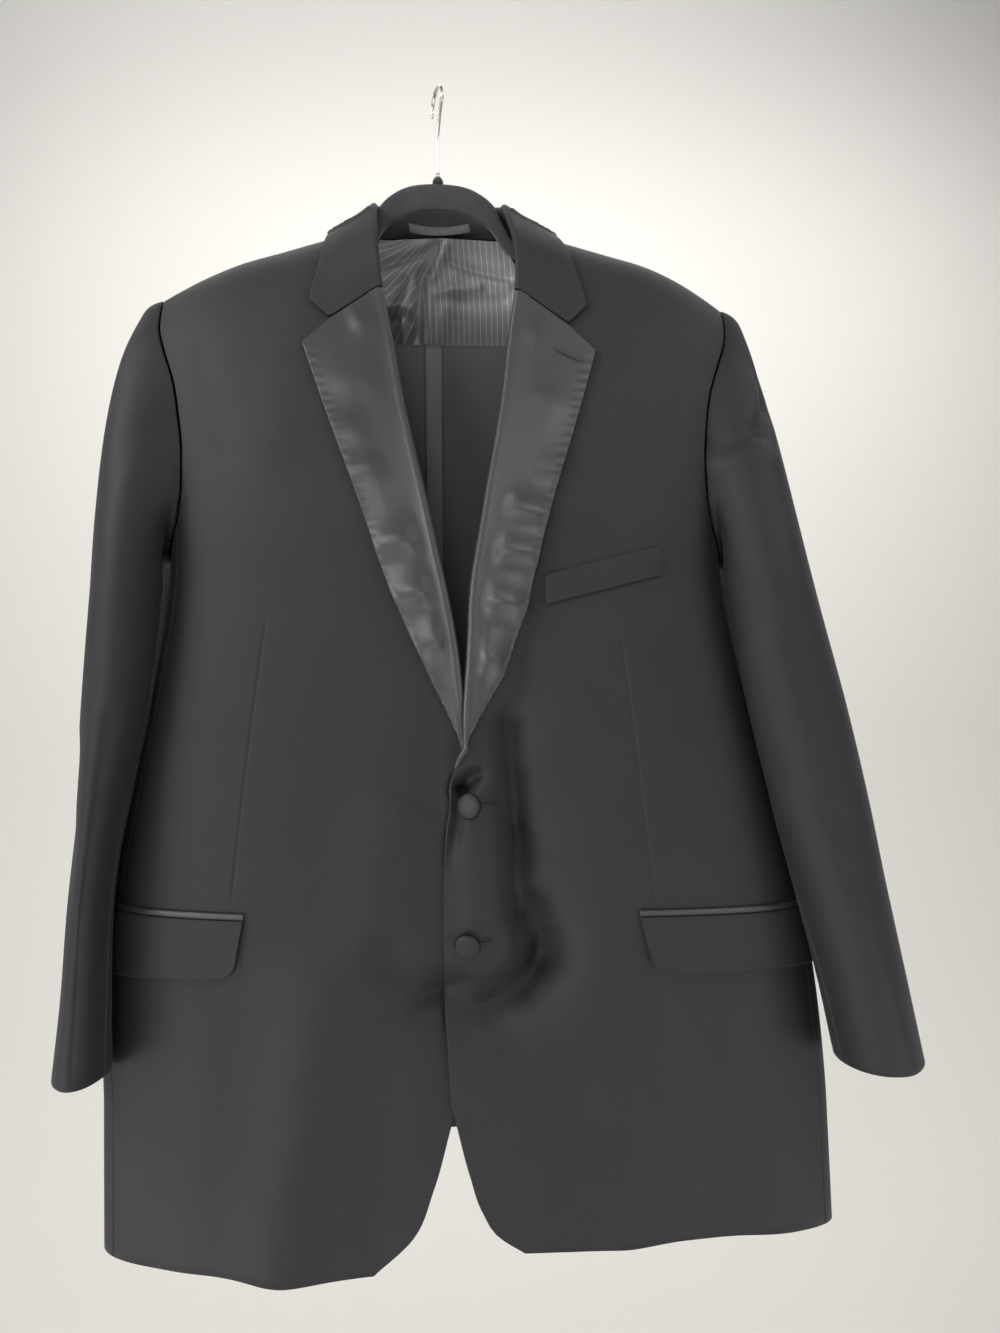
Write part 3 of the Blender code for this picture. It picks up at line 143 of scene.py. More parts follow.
# Rows and columns of the grids; the cloth's flat coordinate has this many metres to a unit of girth
FRONT_ROW_HEIGHTS = (
    -0.1265, -0.133, -0.145, -0.168, -0.2, -0.235, -0.27, -0.306, -0.342, -0.378, -0.425, -0.48, -0.535,
    -0.5755, -0.58, -0.645, -0.705, -0.745, -0.79, -0.85, -0.9, -0.935, -0.955,
)
BACK_ROW_HEIGHTS = (-0.119, -0.127, -0.14, -0.162, -0.192, -0.228, -0.268, -0.31, -0.35, -0.388)
LOWER_ROWS, RIDGE_ROWS, SHOULDER_ROWS = 13, 7, 14
DENSE_HEIGHTS, DENSE_FADE, DENSE_BY_BUTTONS = (-0.585, -0.780), 0.03, 1.4
FRONT_COLUMN_POWER, NECK_COLUMN_POWER, NECK_SHARE = 1.15, 1.3, 0.28
FRONT_GRID, SIDE_GRID, BACK_GRID, LAPEL_GRID = (230, 120), (110, 24), (170, 90), (190, 44)
COLLAR_GRID, STAND_COLUMNS, FOLD_COLUMNS = (100, 26), 9, 9
LINING_GRID, LABEL_GRID, LEG_COLUMNS, STRIPE_COLUMNS, WAISTBAND_SIDES = (150, 120), (16, 48), 61, 7, 120
GIRTH_LENGTH = 0.58

# Folds, as in the solids: face (0 front, 1 back), side, across and height of both ends, width, rise
FOLDS = (
    (0, LEFT, 0.036, -0.56, 0.043, -0.7, 0.012, -0.009),
    (0, LEFT, 0.008, -0.61, 0.008, -0.715, 0.014, 0.004),
    (0, LEFT, 0.052, -0.705, 0.062, -0.735, 0.016, -0.009),
    (0, LEFT, 0.058, -0.742, 0.014, -0.775, 0.015, -0.008),
    (0, LEFT, 0.165, -0.3, 0.15, -0.56, 0.03, 0.003),
    (0, RIGHT, 0.058, -0.735, 0.014, -0.772, 0.015, -0.007),
    (0, RIGHT, 0.11, -0.76, 0.15, -0.97, 0.032, 0.007),
    (0, RIGHT, 0.055, -0.62, 0.075, -0.73, 0.025, 0.004),
    (0, LEFT, 0.17, -0.78, 0.2, -0.97, 0.03, -0.004),
    (1, LEFT, 0.11, -0.33, 0.12, -0.7, 0.026, -0.005),
    (1, LEFT, 0.06, -0.72, 0.085, -0.97, 0.026, 0.006),
    (1, LEFT, 0.17, -0.64, 0.19, -0.97, 0.03, -0.006),
    (1, RIGHT, 0.125, -0.35, 0.115, -0.68, 0.028, -0.005),
    (1, RIGHT, 0.095, -0.7, 0.12, -0.97, 0.028, 0.006),
    (1, RIGHT, 0.195, -0.66, 0.205, -0.97, 0.028, -0.005),
)
LAP, LAP_WIDTH = {LEFT: 0.0018, RIGHT: -0.0028}, (0.018, 0.045)
LAP_BEGINS, LAP_ENDS = (-0.530, -0.572), (-0.90, -0.86)
SKIRT_SWING, SWING_FROM, SWING_WIDTH = {LEFT: -0.006, RIGHT: 0.007}, -0.85, (0.15, 0.25)

# Creases on top of the folds, with the same columns
CREASES = (
    (0, LEFT, 0.022, -0.6, 0.04, -0.64, 0.006, -0.0012),
    (0, LEFT, 0.026, -0.628, 0.055, -0.655, 0.006, -0.001),
    (0, LEFT, 0.02, -0.72, 0.052, -0.712, 0.006, -0.0012),
    (0, RIGHT, 0.016, -0.626, 0.058, -0.606, 0.007, -0.0012),
    (0, RIGHT, 0.018, -0.65, 0.06, -0.668, 0.008, -0.0009),
    (0, RIGHT, 0.016, -0.728, 0.06, -0.716, 0.007, -0.0011),
    (0, LEFT, 0.196, -0.262, 0.17, -0.345, 0.012, -0.0016),
    (0, RIGHT, 0.196, -0.262, 0.172, -0.35, 0.012, -0.0014),
    (0, LEFT, 0.12, -0.18, 0.15, -0.33, 0.02, 0.0012),
    (0, RIGHT, 0.118, -0.185, 0.14, -0.35, 0.022, 0.0012),
    (0, LEFT, 0.11, -0.8, 0.118, -0.955, 0.016, 0.0012),
    (0, RIGHT, 0.2, -0.79, 0.214, -0.955, 0.02, 0.0014),
    (0, RIGHT, 0.06, -0.85, 0.072, -0.955, 0.014, -0.0012),
    (1, LEFT, 0.03, -0.15, 0.05, -0.2, 0.014, -0.0016),
    (1, RIGHT, 0.034, -0.152, 0.052, -0.205, 0.014, -0.0016),
    (1, LEFT, 0.195, -0.262, 0.165, -0.36, 0.013, -0.002),
    (1, RIGHT, 0.196, -0.262, 0.168, -0.372, 0.013, -0.002),
    (1, LEFT, 0.08, -0.42, 0.092, -0.56, 0.018, 0.0018),
    (1, RIGHT, 0.07, -0.44, 0.082, -0.6, 0.018, 0.0018),
    (1, LEFT, 0.02, -0.64, 0.028, -0.76, 0.014, -0.0016),
    (1, RIGHT, 0.024, -0.65, 0.03, -0.77, 0.014, -0.0014),
)
# Hollows along bent lines: face, side, power of the fall, and points of across, height and rise with the
# widths of the fall on the line's left and right, seen along it
HOLLOWS = (
    (0, LEFT, 1.15, (
        (0.064, -0.43, 0, 0.026, 0.01), (0.056, -0.48, -0.0041, 0.028, 0.012),
        (0.044, -0.52, -0.0081, 0.03, 0.012), (0.035, -0.56, -0.0108, 0.03, 0.012),
        (0.0372, -0.585, -0.0108, 0.03, 0.011), (0.0408, -0.612, -0.0135, 0.034, 0.011),
        (0.0425, -0.64, -0.0175, 0.036, 0.011), (0.0422, -0.662, -0.0175, 0.034, 0.01),
        (0.04, -0.684, -0.0121, 0.03, 0.01), (0.035, -0.712, 0, 0.026, 0.01),
    )),
    (0, LEFT, 1.35, (
        (0.054, -0.682, 0, 0.018, 0.018), (0.0585, -0.702, -0.0103, 0.018, 0.02),
        (0.0585, -0.724, -0.019, 0.02, 0.024), (0.0545, -0.744, -0.0218, 0.02, 0.023),
        (0.045, -0.762, -0.0207, 0.02, 0.02), (0.027, -0.774, -0.0161, 0.02, 0.016),
        (0.006, -0.779, -0.0103, 0.02, 0.014), (-0.012, -0.78, 0, 0.018, 0.012),
    )),
    (0, RIGHT, 1.25, (
        (0.002, -0.756, -0.0132, 0.014, 0.024), (0.017, -0.76, -0.0144, 0.014, 0.024),
        (0.034, -0.769, -0.0102, 0.011, 0.022), (0.052, -0.775, -0.0048, 0.008, 0.02),
        (0.07, -0.78, 0, 0.008, 0.018),
    )),
    (0, LEFT, 2, (
        (-0.001, -0.608, -0.013, 0.006, 0.006), (0.004, -0.604, -0.014, 0.0064, 0.0064),
        (0.0095, -0.5995, -0.011, 0.0056, 0.0056), (0.0175, -0.597, 0, 0.0034, 0.0034),
    )),
    (0, LEFT, 2, (
        (0, -0.611, -0.009, 0.004, 0.004), (-0.003, -0.626, -0.0075, 0.004, 0.004),
        (-0.0075, -0.646, -0.0055, 0.0034, 0.0034), (-0.0112, -0.67, 0, 0.0026, 0.0026),
    )),
)
HOLLOW_ROUND, HOLLOW_BLEND = 0.0016, 0.003
# Darts: across and height of the top, then of the low end
DARTS = {LEFT: (0.1246, -0.494, 0.1446, -0.697), RIGHT: (0.1425, -0.480, 0.1725, -0.690)}
DART_WIDTH, DART_DEPTH, DART_PULL, DART_REACH, DART_DRAW = 0.0009, 0.0006, 0.85, 0.016 / 0.24, (0.10, 0.02)

# How it hangs: how far its middle and its two sides sit to the wearer's left, and how much it drops there
HANG = table(
    "height middle left right drop",
    (-0.1, -0.0012, -0.0012, -0.0012, 0.002), (-0.125, 0.0005, 0.0005, 0.0005, 0.001),
    (-0.16, 0.0034, 0.0034, 0.0034, 0.001), (-0.205, 0.0048, 0.004, 0.0048, 0.018),
    (-0.26, 0.0048, 0.0018, 0.001, 0.028), (-0.34, 0.0048, 0.0018, -0.0006, 0.028),
    (-0.45, 0.0048, 0.002, 0, 0.028), (-0.7, 0.0048, 0.0048, 0.0048, 0.028),
    (-0.85, 0.0048, 0.0086, 0.0096, 0.028),
)
HANG_SIDES = (0.10, 0.20)
HANGER_TILT = 0.015

# Sleeves: sections down each sleeve, from the upper arm to the cuff; stations run round it, 24 in all
SLEEVE = {
    LEFT: table(
        "height inner outer middle depth turn",
        (-0.455, 0.215, 0.307, -0.004, 0.076, 8), (-0.54, 0.2255, 0.3232, -0.012, 0.07, 12),
        (-0.617, 0.242, 0.3345, -0.019, 0.066, 15), (-0.69, 0.26, 0.3425, -0.026, 0.062, 17),
        (-0.76, 0.275, 0.35, -0.032, 0.059, 17), (-0.82, 0.284, 0.3566, -0.035, 0.057, 17),
    ),
    RIGHT: table(
        "height inner outer middle depth turn",
        (-0.455, 0.223, 0.286, -0.004, 0.076, 4), (-0.54, 0.233, 0.2905, -0.008, 0.074, 5),
        (-0.617, 0.251, 0.296, -0.013, 0.072, 7), (-0.69, 0.263, 0.3028, -0.019, 0.069, 8),
        (-0.76, 0.267, 0.3078, -0.024, 0.065, 8), (-0.817, 0.269, 0.3142, -0.028, 0.062, 8),
    ),
}
SLEEVE_HEAD = {LEFT: {"puff": 0.104, "slant": 0.18}, RIGHT: {"puff": 0.112, "slant": 0.03}}
SLEEVE_PUFF, SLEEVE_ARRIVE, SLEEVE_OUT = 0.003, 0.46, 0.0005
HEAD_FORE, HEAD_DOWN, HEAD_BACK, HEAD_CLOSE, HEAD_CLEAR = 0.25, 0.15, 0.05, 0.10, 0.3
SLEEVE_CLEARANCE, SLEEVE_SOFT = 0.0062, 0.004
STATIONS, FRONT_SEAM_STATION, BACK_SEAM_STATION = 24, 10, 17
SLEEVE_HEAD_RINGS, SLEEVE_RINGS, TOP_SLEEVE_COLUMNS, UNDER_SLEEVE_COLUMNS = 34, 80, 86, 36
STATION_PITCH, STATION_LENGTH = 0.011, 0.0105
# Sleeve creases: side, height and station (0 outside, 6 front, 12 inside, 18 back) of both ends, width, rise
SLEEVE_CREASES = (
    (LEFT, -0.335, 7.5, -0.318, 4, 0.007, -0.0035), (LEFT, -0.318, 4, -0.29, 2.2, 0.007, -0.004),
    (LEFT, -0.29, 2.2, -0.262, 2, 0.008, -0.003), (LEFT, -0.35, 7, -0.345, 3.5, 0.01, 0.0022),
    (LEFT, -0.48, 6.5, -0.56, 3.5, 0.014, -0.002), (LEFT, -0.6, 8, -0.64, 4.5, 0.014, -0.0022),
    (LEFT, -0.7, 5, -0.815, 4, 0.012, 0.0016), (RIGHT, -0.56, 6.6, -0.8, 6.2, 0.011, -0.003),
    (RIGHT, -0.3, 6.5, -0.38, 4, 0.012, -0.0016), (RIGHT, -0.47, 4, -0.56, 2, 0.014, 0.0016),
    (RIGHT, -0.64, 3, -0.72, 5, 0.014, -0.0014), (LEFT, -0.42, 19, -0.5, 21, 0.014, -0.0024),
    (LEFT, -0.56, 18, -0.6, 21, 0.013, -0.0026), (RIGHT, -0.43, 19, -0.52, 21, 0.014, -0.0024),
    (RIGHT, -0.57, 17.5, -0.62, 20.5, 0.013, -0.0026),
)

# Waves across the satin: side, height of the crest, its middle and reach across the leaf, half height, rise
# and slant
WAVES = (
    (LEFT, -0.362, 0.9, 0.26, 0.008, 0.0026, 0.1), (LEFT, -0.397, 0.66, 0.4, 0.0085, 0.0064, 0.14),
    (LEFT, -0.429, 0.64, 0.44, 0.0088, 0.0076, 0.1), (LEFT, -0.468, 0.62, 0.46, 0.0096, 0.008, 0.18),
    (LEFT, -0.513, 0.6, 0.48, 0.01, 0.0064, 0.24), (LEFT, -0.245, 0.12, 0.16, 0.008, 0.0024, 0.3),
    (LEFT, -0.305, 0.45, 0.4, 0.016, 0.0024, 0.2), (RIGHT, -0.24, 0.2, 0.18, 0.008, 0.0024, 0),
    (RIGHT, -0.29, 0.5, 0.4, 0.016, 0.002, 0.1), (RIGHT, -0.333, 0.85, 0.26, 0.008, 0.0024, 0.1),
    (RIGHT, -0.365, 0.8, 0.3, 0.008, 0.003, 0.06), (RIGHT, -0.4235, 0.64, 0.42, 0.0095, 0.006, 0.1),
    (RIGHT, -0.462, 0.62, 0.44, 0.01, 0.0064, 0.1), (RIGHT, -0.5, 0.6, 0.46, 0.01, 0.005, 0.2),
)
CREST_ROUND, CREST_ABOVE, CREST_BELOW, SLANT_RUN, WAVES_FROM = 0.0034, 1.35, 0.80, 0.06, 0.40
PUCKER_PERIOD, PUCKER_RISE, PUCKER_REACH, PUCKER_STRAY = 0.0085, 0.00045, 0.10, 1.7

# Collar, half of it from the gorge round to the centre back: where the strip is sewn on, folds over and ends
COLLAR = table(
    "seam_x seam_z fold_x fold_y fold_z edge_x edge_z",
    (0.0642, -0.2055, 0.0545, -0.0465, -0.205, 0.113, -0.218),
    (0.0661, -0.189, 0.056, -0.046, -0.185, 0.1095, -0.199),
    (0.0676, -0.168, 0.0565, -0.04, -0.16, 0.105, -0.178),
    (0.0671, -0.147, 0.0555, -0.027, -0.1355, 0.101, -0.157),
    (0.0666, -0.13, 0.0545, -0.0115, -0.114, 0.097, -0.144),
    (0.0646, -0.125, 0.0538, 0.003, -0.107, 0.0945, -0.139),
    (0.055, -0.1245, 0.0455, 0.019, -0.0972, 0.084, -0.143),
    (0.0318, -0.12, 0.024, 0.033, -0.0865, 0.046, -0.137),
    (0, -0.1176, 0, 0.0375, -0.083, 0, -0.132),
)
COLLAR_FOLD_HALF = (0, 1, 2.5, 4, 8), (0.0022, 0.0024, 0.0026, 0.0026, 0.0026)
COLLAR_BEHIND, COLLAR_BEND, STAND_LIFT, COLLAR_EDGE_LIFT = 5.0, 0.0035, -0.0011, 0.0027
COLLAR_NOTCH_SHARE, COLLAR_OVER_NOTCH, COLLAR_NOTCH_FADE = 0.70, 0.0012, 0.55
COLLAR_NOTCH_WEIGHT = (0, 0.25, 0.5, COLLAR_NOTCH_SHARE, 1), (0, 0.36, 0.72, 1, 0)

# Pockets and buttons; a button's or boss's profile is radius and height, as shares or in metres
POCKET = {
    LEFT: {"inner": 0.1317, "top": -0.7005, "rise": 0.001},
    RIGHT: {"inner": 0.1635, "top": -0.7000, "rise": 0.006},
}
POCKET_LENGTH, POCKET_END, PATCH_LIFT = 0.155, 0.016, 0.0012
JET_HEIGHT, JET_LIFT, JET_ROUND = 0.0048, 0.0016, 0.0012
FLAP_HEIGHT, FLAP_CORNER, FLAP_SLANT, FLAP_LIFT, FLAP_CURL = 0.0480, 0.014, 0.0045, 0.0032, 0.0012
WELT = {"inner": 0.0668, "outer": 0.1600, "inner_top": -0.4455, "outer_top": -0.4215, "height": 0.0235}
WELT_LIFT, WELT_ROUND = 0.0020, 0.0008
BUTTONS = ("upper", 0.0058, -0.6215), ("lower", 0.0008, -0.7235)
BUTTON_RADIUS, BUTTON_THICKNESS, BUTTON_SEAT, GATHERS, GATHER_RISE = 0.0098, 0.0050, 0.0012, 14, 0.012
BUTTON_PROFILE = (
    (0.02, 0.05), (0.60, 0.06), (0.88, 0.10), (0.97, 0.22), (1.00, 0.40), (0.98, 0.56), (0.92, 0.70),
    (0.82, 0.82), (0.66, 0.92), (0.45, 0.98), (0.22, 1.00), (0.02, 1.00),
)
LAPEL_BUTTONHOLE, BUTTONHOLE_LENGTH = ((0.0845, -0.2590), (0.1037, -0.2685)), 0.0185
THREAD_RADIUS, STITCH_RISE = 0.0006, 0.22

# Trousers over the bar, measured along each leg from its hem
BAR_HEIGHT, BAR_RADIUS = -0.2434, 0.0032
FRONT_DROP, LEG_LENGTH, OVER_BAR, CLOSING_RUN = 0.6330, 1.102, 0.024, 0.07
LEG_INNER = {"radius": 0.0060, "closed_at": 0.0030}
LEG_OUTER = {"radius": 0.0090, "closed_at": 0.0060}
WAISTBAND_HEIGHT, WAISTBAND_THICKNESS = 0.038, 0.0058
LEG_EDGES = table(
    "along front back",
    (0, 0.107, -0.125), (0.3, 0.114, -0.132), (0.65, 0.125, -0.141), (0.78, 0.128, -0.18),
    (0.88, 0.13, -0.206), (1, 0.13, -0.188), (1.14, 0.128, -0.14),
)
STRIPE_ACROSS, STRIPE_WIDTH = -0.0050, 0.0152

# Lining and label inside the neck; the lining's folds have the columns of the jacket's, without face and side
LINING_HALF, LINING_LOW, LINING_NEAR, LINING_LOOSE = 0.078, -0.345, 0.0035, 0.0155
LINING_FOLDS = (
    (-0.004, -0.1235, -0.022, -0.156, 0.005, -0.008), (-0.022, -0.156, -0.03, -0.22, 0.0044, -0.009),
    (0.004, -0.125, -0.013, -0.158, 0.005, 0.004), (-0.013, -0.158, -0.02, -0.215, 0.005, 0.0034),
    (-0.008, -0.129, -0.064, -0.149, 0.0032, -0.0046), (-0.009, -0.124, -0.064, -0.139, 0.0044, 0.0028),
    (-0.014, -0.137, -0.062, -0.159, 0.005, 0.003), (-0.019, -0.147, -0.06, -0.17, 0.0036, -0.003),
    (-0.029, -0.16, -0.042, -0.19, 0.005, 0.0034), (-0.036, -0.156, -0.056, -0.185, 0.005, -0.0026),
    (0.006, -0.14, 0.056, -0.156, 0.0044, -0.003), (0.01, -0.15, 0.056, -0.164, 0.005, 0.0026),
    (-0.006, -0.17, 0.03, -0.164, 0.0044, 0.003), (-0.005, -0.178, 0.05, -0.176, 0.0056, -0.0026),
    (-0.062, -0.183, -0.033, -0.187, 0.0034, 0.004), (-0.062, -0.19, -0.033, -0.194, 0.0034, -0.004),
    (-0.04, -0.193, -0.038, -0.22, 0.0034, 0.004),
)
LOOSE_FROM, LOOSE_TO, FOLDS_FROM = (-0.125, -0.178), (-0.180, -0.222), (-0.1195, -0.127)
LINING_UNDER_RIDGE, LINING_SHOULDER, LINING_LEAST = 0.0120, 0.055, 0.0010
RIDGE_ROOM, RIDGE_ROOM_RUN = 0.0045, 0.02
PLEATS = {
    "across": -0.010, "height": -0.155, "lean": 0.31, "apart": 0.016, "width": 0.011, "rise": 0.004,
    "from": (-0.125, -0.17),
}
TUCK_LINE, TUCK_BLEND = ((-0.2200, -0.1560, -0.1190), (-0.0270, -0.0215, 0.0)), (0.002, -0.003)
FAN_PIVOT, FAN_RADIUS = (0.0060, -0.1080), 0.075
LABEL_HALF, LABEL_TOP, LABEL_LOW, LABEL_OFF = 0.0270, 0.30, 0.00, 0.0012
LABEL_BEND, LABEL_CURL, LABEL_WAVE = 0.018, 0.0012, 0.0010

# Hanger, half of its closed outline from the neck arch round to the middle of the bar, its boss and its hook
HANGER = table(
    "across height half",
    (0, -0.099, 0.0121), (0.02, -0.101, 0.0121), (0.033, -0.1068, 0.0115),
    (0.042, -0.114, 0.0102), (0.0475, -0.1205, 0.0072), (0.053, -0.1292, 0.0054),
    (0.06, -0.1415, 0.0052), (0.074, -0.152, 0.0054), (0.096, -0.1605, 0.0068),
    (0.12, -0.1675, 0.0084), (0.15, -0.1757, 0.0086), (0.18, -0.1857, 0.0086),
    (0.203, -0.197, 0.008), (0.216, -0.207, 0.0066), (0.2215, -0.215, 0.0052),
    (0.216, -0.229, 0.0044), (0.202, -0.239, 0.0036), (0.18, -0.2434, 0.0032),
    (0.09, -0.2434, 0.0032),
)
HANGER_THICKNESS = 0.0058
BOSS_RADIUS, BOSS_TIP = 0.0046, -0.0805
BOSS_PROFILE = (
    (1.0, -0.0866), (1.0, -0.0842), (0.96, -0.0834), (0.80, -0.0822), (0.66, -0.0812), (0.50, -0.0807),
    (0.40, BOSS_TIP),
)
WIRE_RADIUS, HOOK_RADIUS, HOOK_TURN, HOOK_KNEE = 0.0015, 0.0140, 18, -0.046

# Finishes: dark and light of each; a band of Blender's wave texture is this number over its scale wide
COLOURS = {
    "wool": ((0.0125, 0.0125, 0.0135), (0.0215, 0.0215, 0.0230)),
    # Painted light: the trousers are of the jacket's black wool, made several times lighter to make up for
    # the shade inside the jacket
    "trouser": ((0.056, 0.056, 0.057), (0.080, 0.080, 0.081)),
    "satin": ((0.020, 0.020, 0.022), (0.032, 0.032, 0.035)),
    # Painted light: the trousers' stripe is the lapels' satin made lighter to make up for the shade inside
    # the jacket
    "stripe": ((0.050, 0.050, 0.052), (0.090, 0.090, 0.093)),
    "button": ((0.024, 0.024, 0.025), (0.036, 0.036, 0.038)),
    "lining": ((0.270, 0.270, 0.278), (0.560, 0.560, 0.575)),
    "label": ((0.075, 0.075, 0.080), (0.130, 0.130, 0.138)),
    "flock": ((0.042, 0.043, 0.046), (0.074, 0.076, 0.080)),
}
# Painted shade: the near-black that a covered button's cloth darkens to at its edge, standing for the contact
# shadow round the button
PAINTED_RIM_SHADE = (0.001, 0.001, 0.001)
BAND_SCALE, STRIPE_PITCH = 0.3142, 0.0050

# Camera, from the photograph's framing, and the studio: each light's name, place, target, size and power
CAMERA_PLACE, CAMERA_LENS = (-0.0154, -0.8001, -0.5835), 36 * 963 / 1333
CAMERA_FORWARD, CAMERA_UP = (0.0695, 0.9935, 0.0906), (0.0232, -0.0924, 0.9955)
FLOOR_HEIGHT, FLOOR_REACH, SWEEP_Y, SWEEP_RADIUS, SWEEP_TOP = -1.75, 7.0, 2.4, 1.2, 6.0
WORLD_COLOUR, WORLD_STRENGTH = (0.95, 0.94, 0.91, 1), 0.08
LIGHTS = (
    ("front_box", (-0.9, -3.1, 0.1), (0.0, 0.0, -0.6), (1.6, 0.9), 19.0),
    ("ceiling_box", (0.0, -1.6, 1.7), (0.0, 0.0, -0.5), (2.0, 1.2), 9.0),
    ("left_high_box", (-1.8, -1.0, 1.0), (0.0, 0.0, -0.5), (1.0, 1.0), 36.0),
    ("right_high_box", (1.8, -1.0, 1.0), (0.0, 0.0, -0.5), (1.0, 1.0), 16.0),
    ("left_box", (-2.2, -1.0, -0.5), (0.0, 0.0, -0.6), (1.0, 1.8), 8.0),
    ("right_box", (2.2, -1.0, -0.5), (0.0, 0.0, -0.6), (1.0, 1.8), 5.0),
    ("left_low_box", (-1.3, -1.1, -1.4), (-0.2, 0.0, -0.9), (1.0, 0.6), 11.0),
    ("right_low_box", (1.3, -1.1, -1.4), (0.2, 0.0, -0.9), (1.0, 0.6), 7.0),
    ("wall_wash", (0.4, 1.0, 1.4), (0.4, 2.2, -0.6), (3.4, 0.8), 30.0),
    ("wall_wash_high", (0.0, 1.0, 2.8), (0.0, 2.4, 1.6), (3.4, 0.8), 22.0),
)


# ---- Curves ----

def smooth(at, places, values):
    """A smooth curve through the values at these places, with no overshoot between them."""
    order = np.argsort(places)
    places, values = np.asarray(places, float)[order], np.asarray(values, float)[order]
    step = np.diff(places)
    slope = np.diff(values) / step
    tangent = np.zeros(len(places))
    tangent[0], tangent[-1] = slope[0], slope[-1]
    turning = slope[:-1] * slope[1:] <= 0
    mean = (slope[:-1] * step[1:] + slope[1:] * step[:-1]) / (step[1:] + step[:-1])
    steepest = 3 * np.minimum(abs(slope[:-1]), abs(slope[1:]))
    tangent[1:-1] = np.where(turning, 0, np.clip(mean, -steepest, steepest))
    at = np.clip(at, places[0], places[-1])
    i = np.clip(np.searchsorted(places, at) - 1, 0, len(step) - 1)
    t = (at - places[i]) / step[i]
    rise = values[i] * (1 + 2 * t) * (1 - t) ** 2 + values[i + 1] * t * t * (3 - 2 * t)
    return rise + step[i] * (tangent[i] * t * (1 - t) ** 2 - tangent[i + 1] * t * t * (1 - t))


def read(chart, at, column):
    """A column of a table at these values of its first column."""
    return smooth(at, next(iter(chart.values())), chart[column])


def at_rows(rows, values):
    """The values at these row numbers, which may lie between rows."""
    return smooth(rows, np.arange(len(values)), values)


def ease(low, high, at):
    """0 at low, 1 at high, and smooth between; low may be the greater."""
    t = np.clip((at - low) / (high - low), 0, 1)
    return t * t * (3 - 2 * t)


def mix(a, b, t):
    return a + (b - a) * t


def unit(vectors):
    return vectors / np.maximum(np.linalg.norm(vectors, axis=-1, keepdims=True), 1e-12)


def run_of(points):
    """Distance along a line of points."""
    return np.append(0, np.cumsum(np.linalg.norm(np.diff(points, axis=0), axis=1)))


def turns(count, start=0.0):
    """Angles of a full turn in equal steps."""
    return 2 * np.pi * (np.arange(count) + start) / count


def powered(value, power):
    """The value's size to a power, with the value's sign."""
    return np.sign(value) * np.abs(value) ** power


# ---- Relief: soft troughs and ridges along lines ----

def to_line(x, z, start, end):
    """Share along a line of the place nearest to each point, the distance to it, and how far left of it."""
    run = np.subtract(end, start)
    dx, dz = x - start[0], z - start[1]
    t = np.clip((dx * run[0] + dz * run[1]) / (run @ run), 0, 1)
    return t, np.hypot(dx - t * run[0], dz - t * run[1]), (run[0] * dz - run[1] * dx) / np.hypot(*run)


def line_rise(row, x, z):
    """The trough or ridge of one row: its line's two ends, its width and its rise."""
    x0, z0, x1, z1, width, rise = row
    return rise * np.exp(-(to_line(x, z, (x0, z0), (x1, z1))[1] / width) ** 2)


def bent_line_rise(points, power, x, z):
    """A trough along a bent line, steeper on one side: at each place the deepest that any stretch gives."""
    depth = np.zeros(np.broadcast(x, z).shape)
    for start, end in zip(points[:-1], points[1:]):
        t, away, beside = to_line(x, z, start[:2], end[:2])
        away = np.hypot(away, HOLLOW_ROUND) - HOLLOW_ROUND
        rise, left_width, right_width = (mix(a, b, t) for a, b in zip(start[2:], end[2:]))
        width = mix(left_width, right_width, 0.5 - 0.5 * np.tanh(beside / HOLLOW_BLEND))
        depth = np.maximum(depth, -rise * np.exp(-(away / width) ** power))
    return -depth


def fold_rise(side, across, height, behind):
    """How far the folds, the lap of the fronts and the swing of the skirt move the cloth out."""
    rise = np.zeros(np.shape(across))
    for face, fold_side, power, points in HOLLOWS:
        hollow = bent_line_rise(points, power, across * side * fold_side, height)
        rise = rise + np.where(behind == face, hollow, 0)
    for face, fold_side, *row in FOLDS + CREASES:
        rise = rise + np.where(behind == face, line_rise(row, across * side * fold_side, height), 0)
    below = ease(*LAP_BEGINS, height) * ease(*LAP_ENDS, height)
    lap = LAP[side] * (1 - ease(*LAP_WIDTH, np.abs(across))) * below
    swing = SKIRT_SWING[side] * ease(SWING_FROM, HEM_HEIGHT, height) * (1 - ease(*SWING_WIDTH, across))
    return rise + np.where(behind, 0, lap + swing)


# ---- The jacket's body surface ----

def section_outline():
    """Girth and width along a quarter of a body section, from its middle to its side."""
    turn = np.linspace(0, np.pi / 2, SECTION_STEPS)
    across, deep = np.sin(turn) ** (2 / SIDE_ROUNDING), np.cos(turn)
    steps = np.hypot(np.diff(across, prepend=0) * SECTION_WIDTH, np.diff(deep, prepend=1) * SECTION_DEPTH)
    run = np.cumsum(steps)
    return (run - run[0]) / (run[-1] - run[0]) / 2, across


GIRTH, ACROSS = section_outline()


def girth_at(across, height):
    """The girth of a point this far from the centre line, on the front."""
    share = across / read(BODY, height, "half_width")
    return np.interp(np.abs(share), ACROSS, GIRTH) * np.sign(share)


def across_at(girth, height):
    """The distance from the centre line at this girth, on either face."""
    quarter = np.where(girth > 0.5, 1 - girth, np.abs(girth))
    return np.interp(quarter, GIRTH, ACROSS) * read(BODY, height, "half_width")


def ridge(across):
    """Height of the shoulder's ridge."""
    return read(SHOULDER_RIDGE, np.abs(across), "height")


def body_depth(height, behind):
    return np.where(behind, read(BODY, height, "back"), read(BODY, height, "front"))


def squared_depth(across, height, behind):
    """Square of the body's depth, which falls to 0 at the sides and at the shoulder ridge."""
    side = 1 - np.abs(across / read(BODY, height, "half_width")) ** SIDE_ROUNDING
    cap = 1 - (1 - np.minimum((ridge(across) - height) / SHOULDER_DROP, 1)) ** 2
    return body_depth(height, behind) ** 2 * side * cap


def mirrored(vectors, side):
    return vectors * np.array([side, 1.0, 1.0])


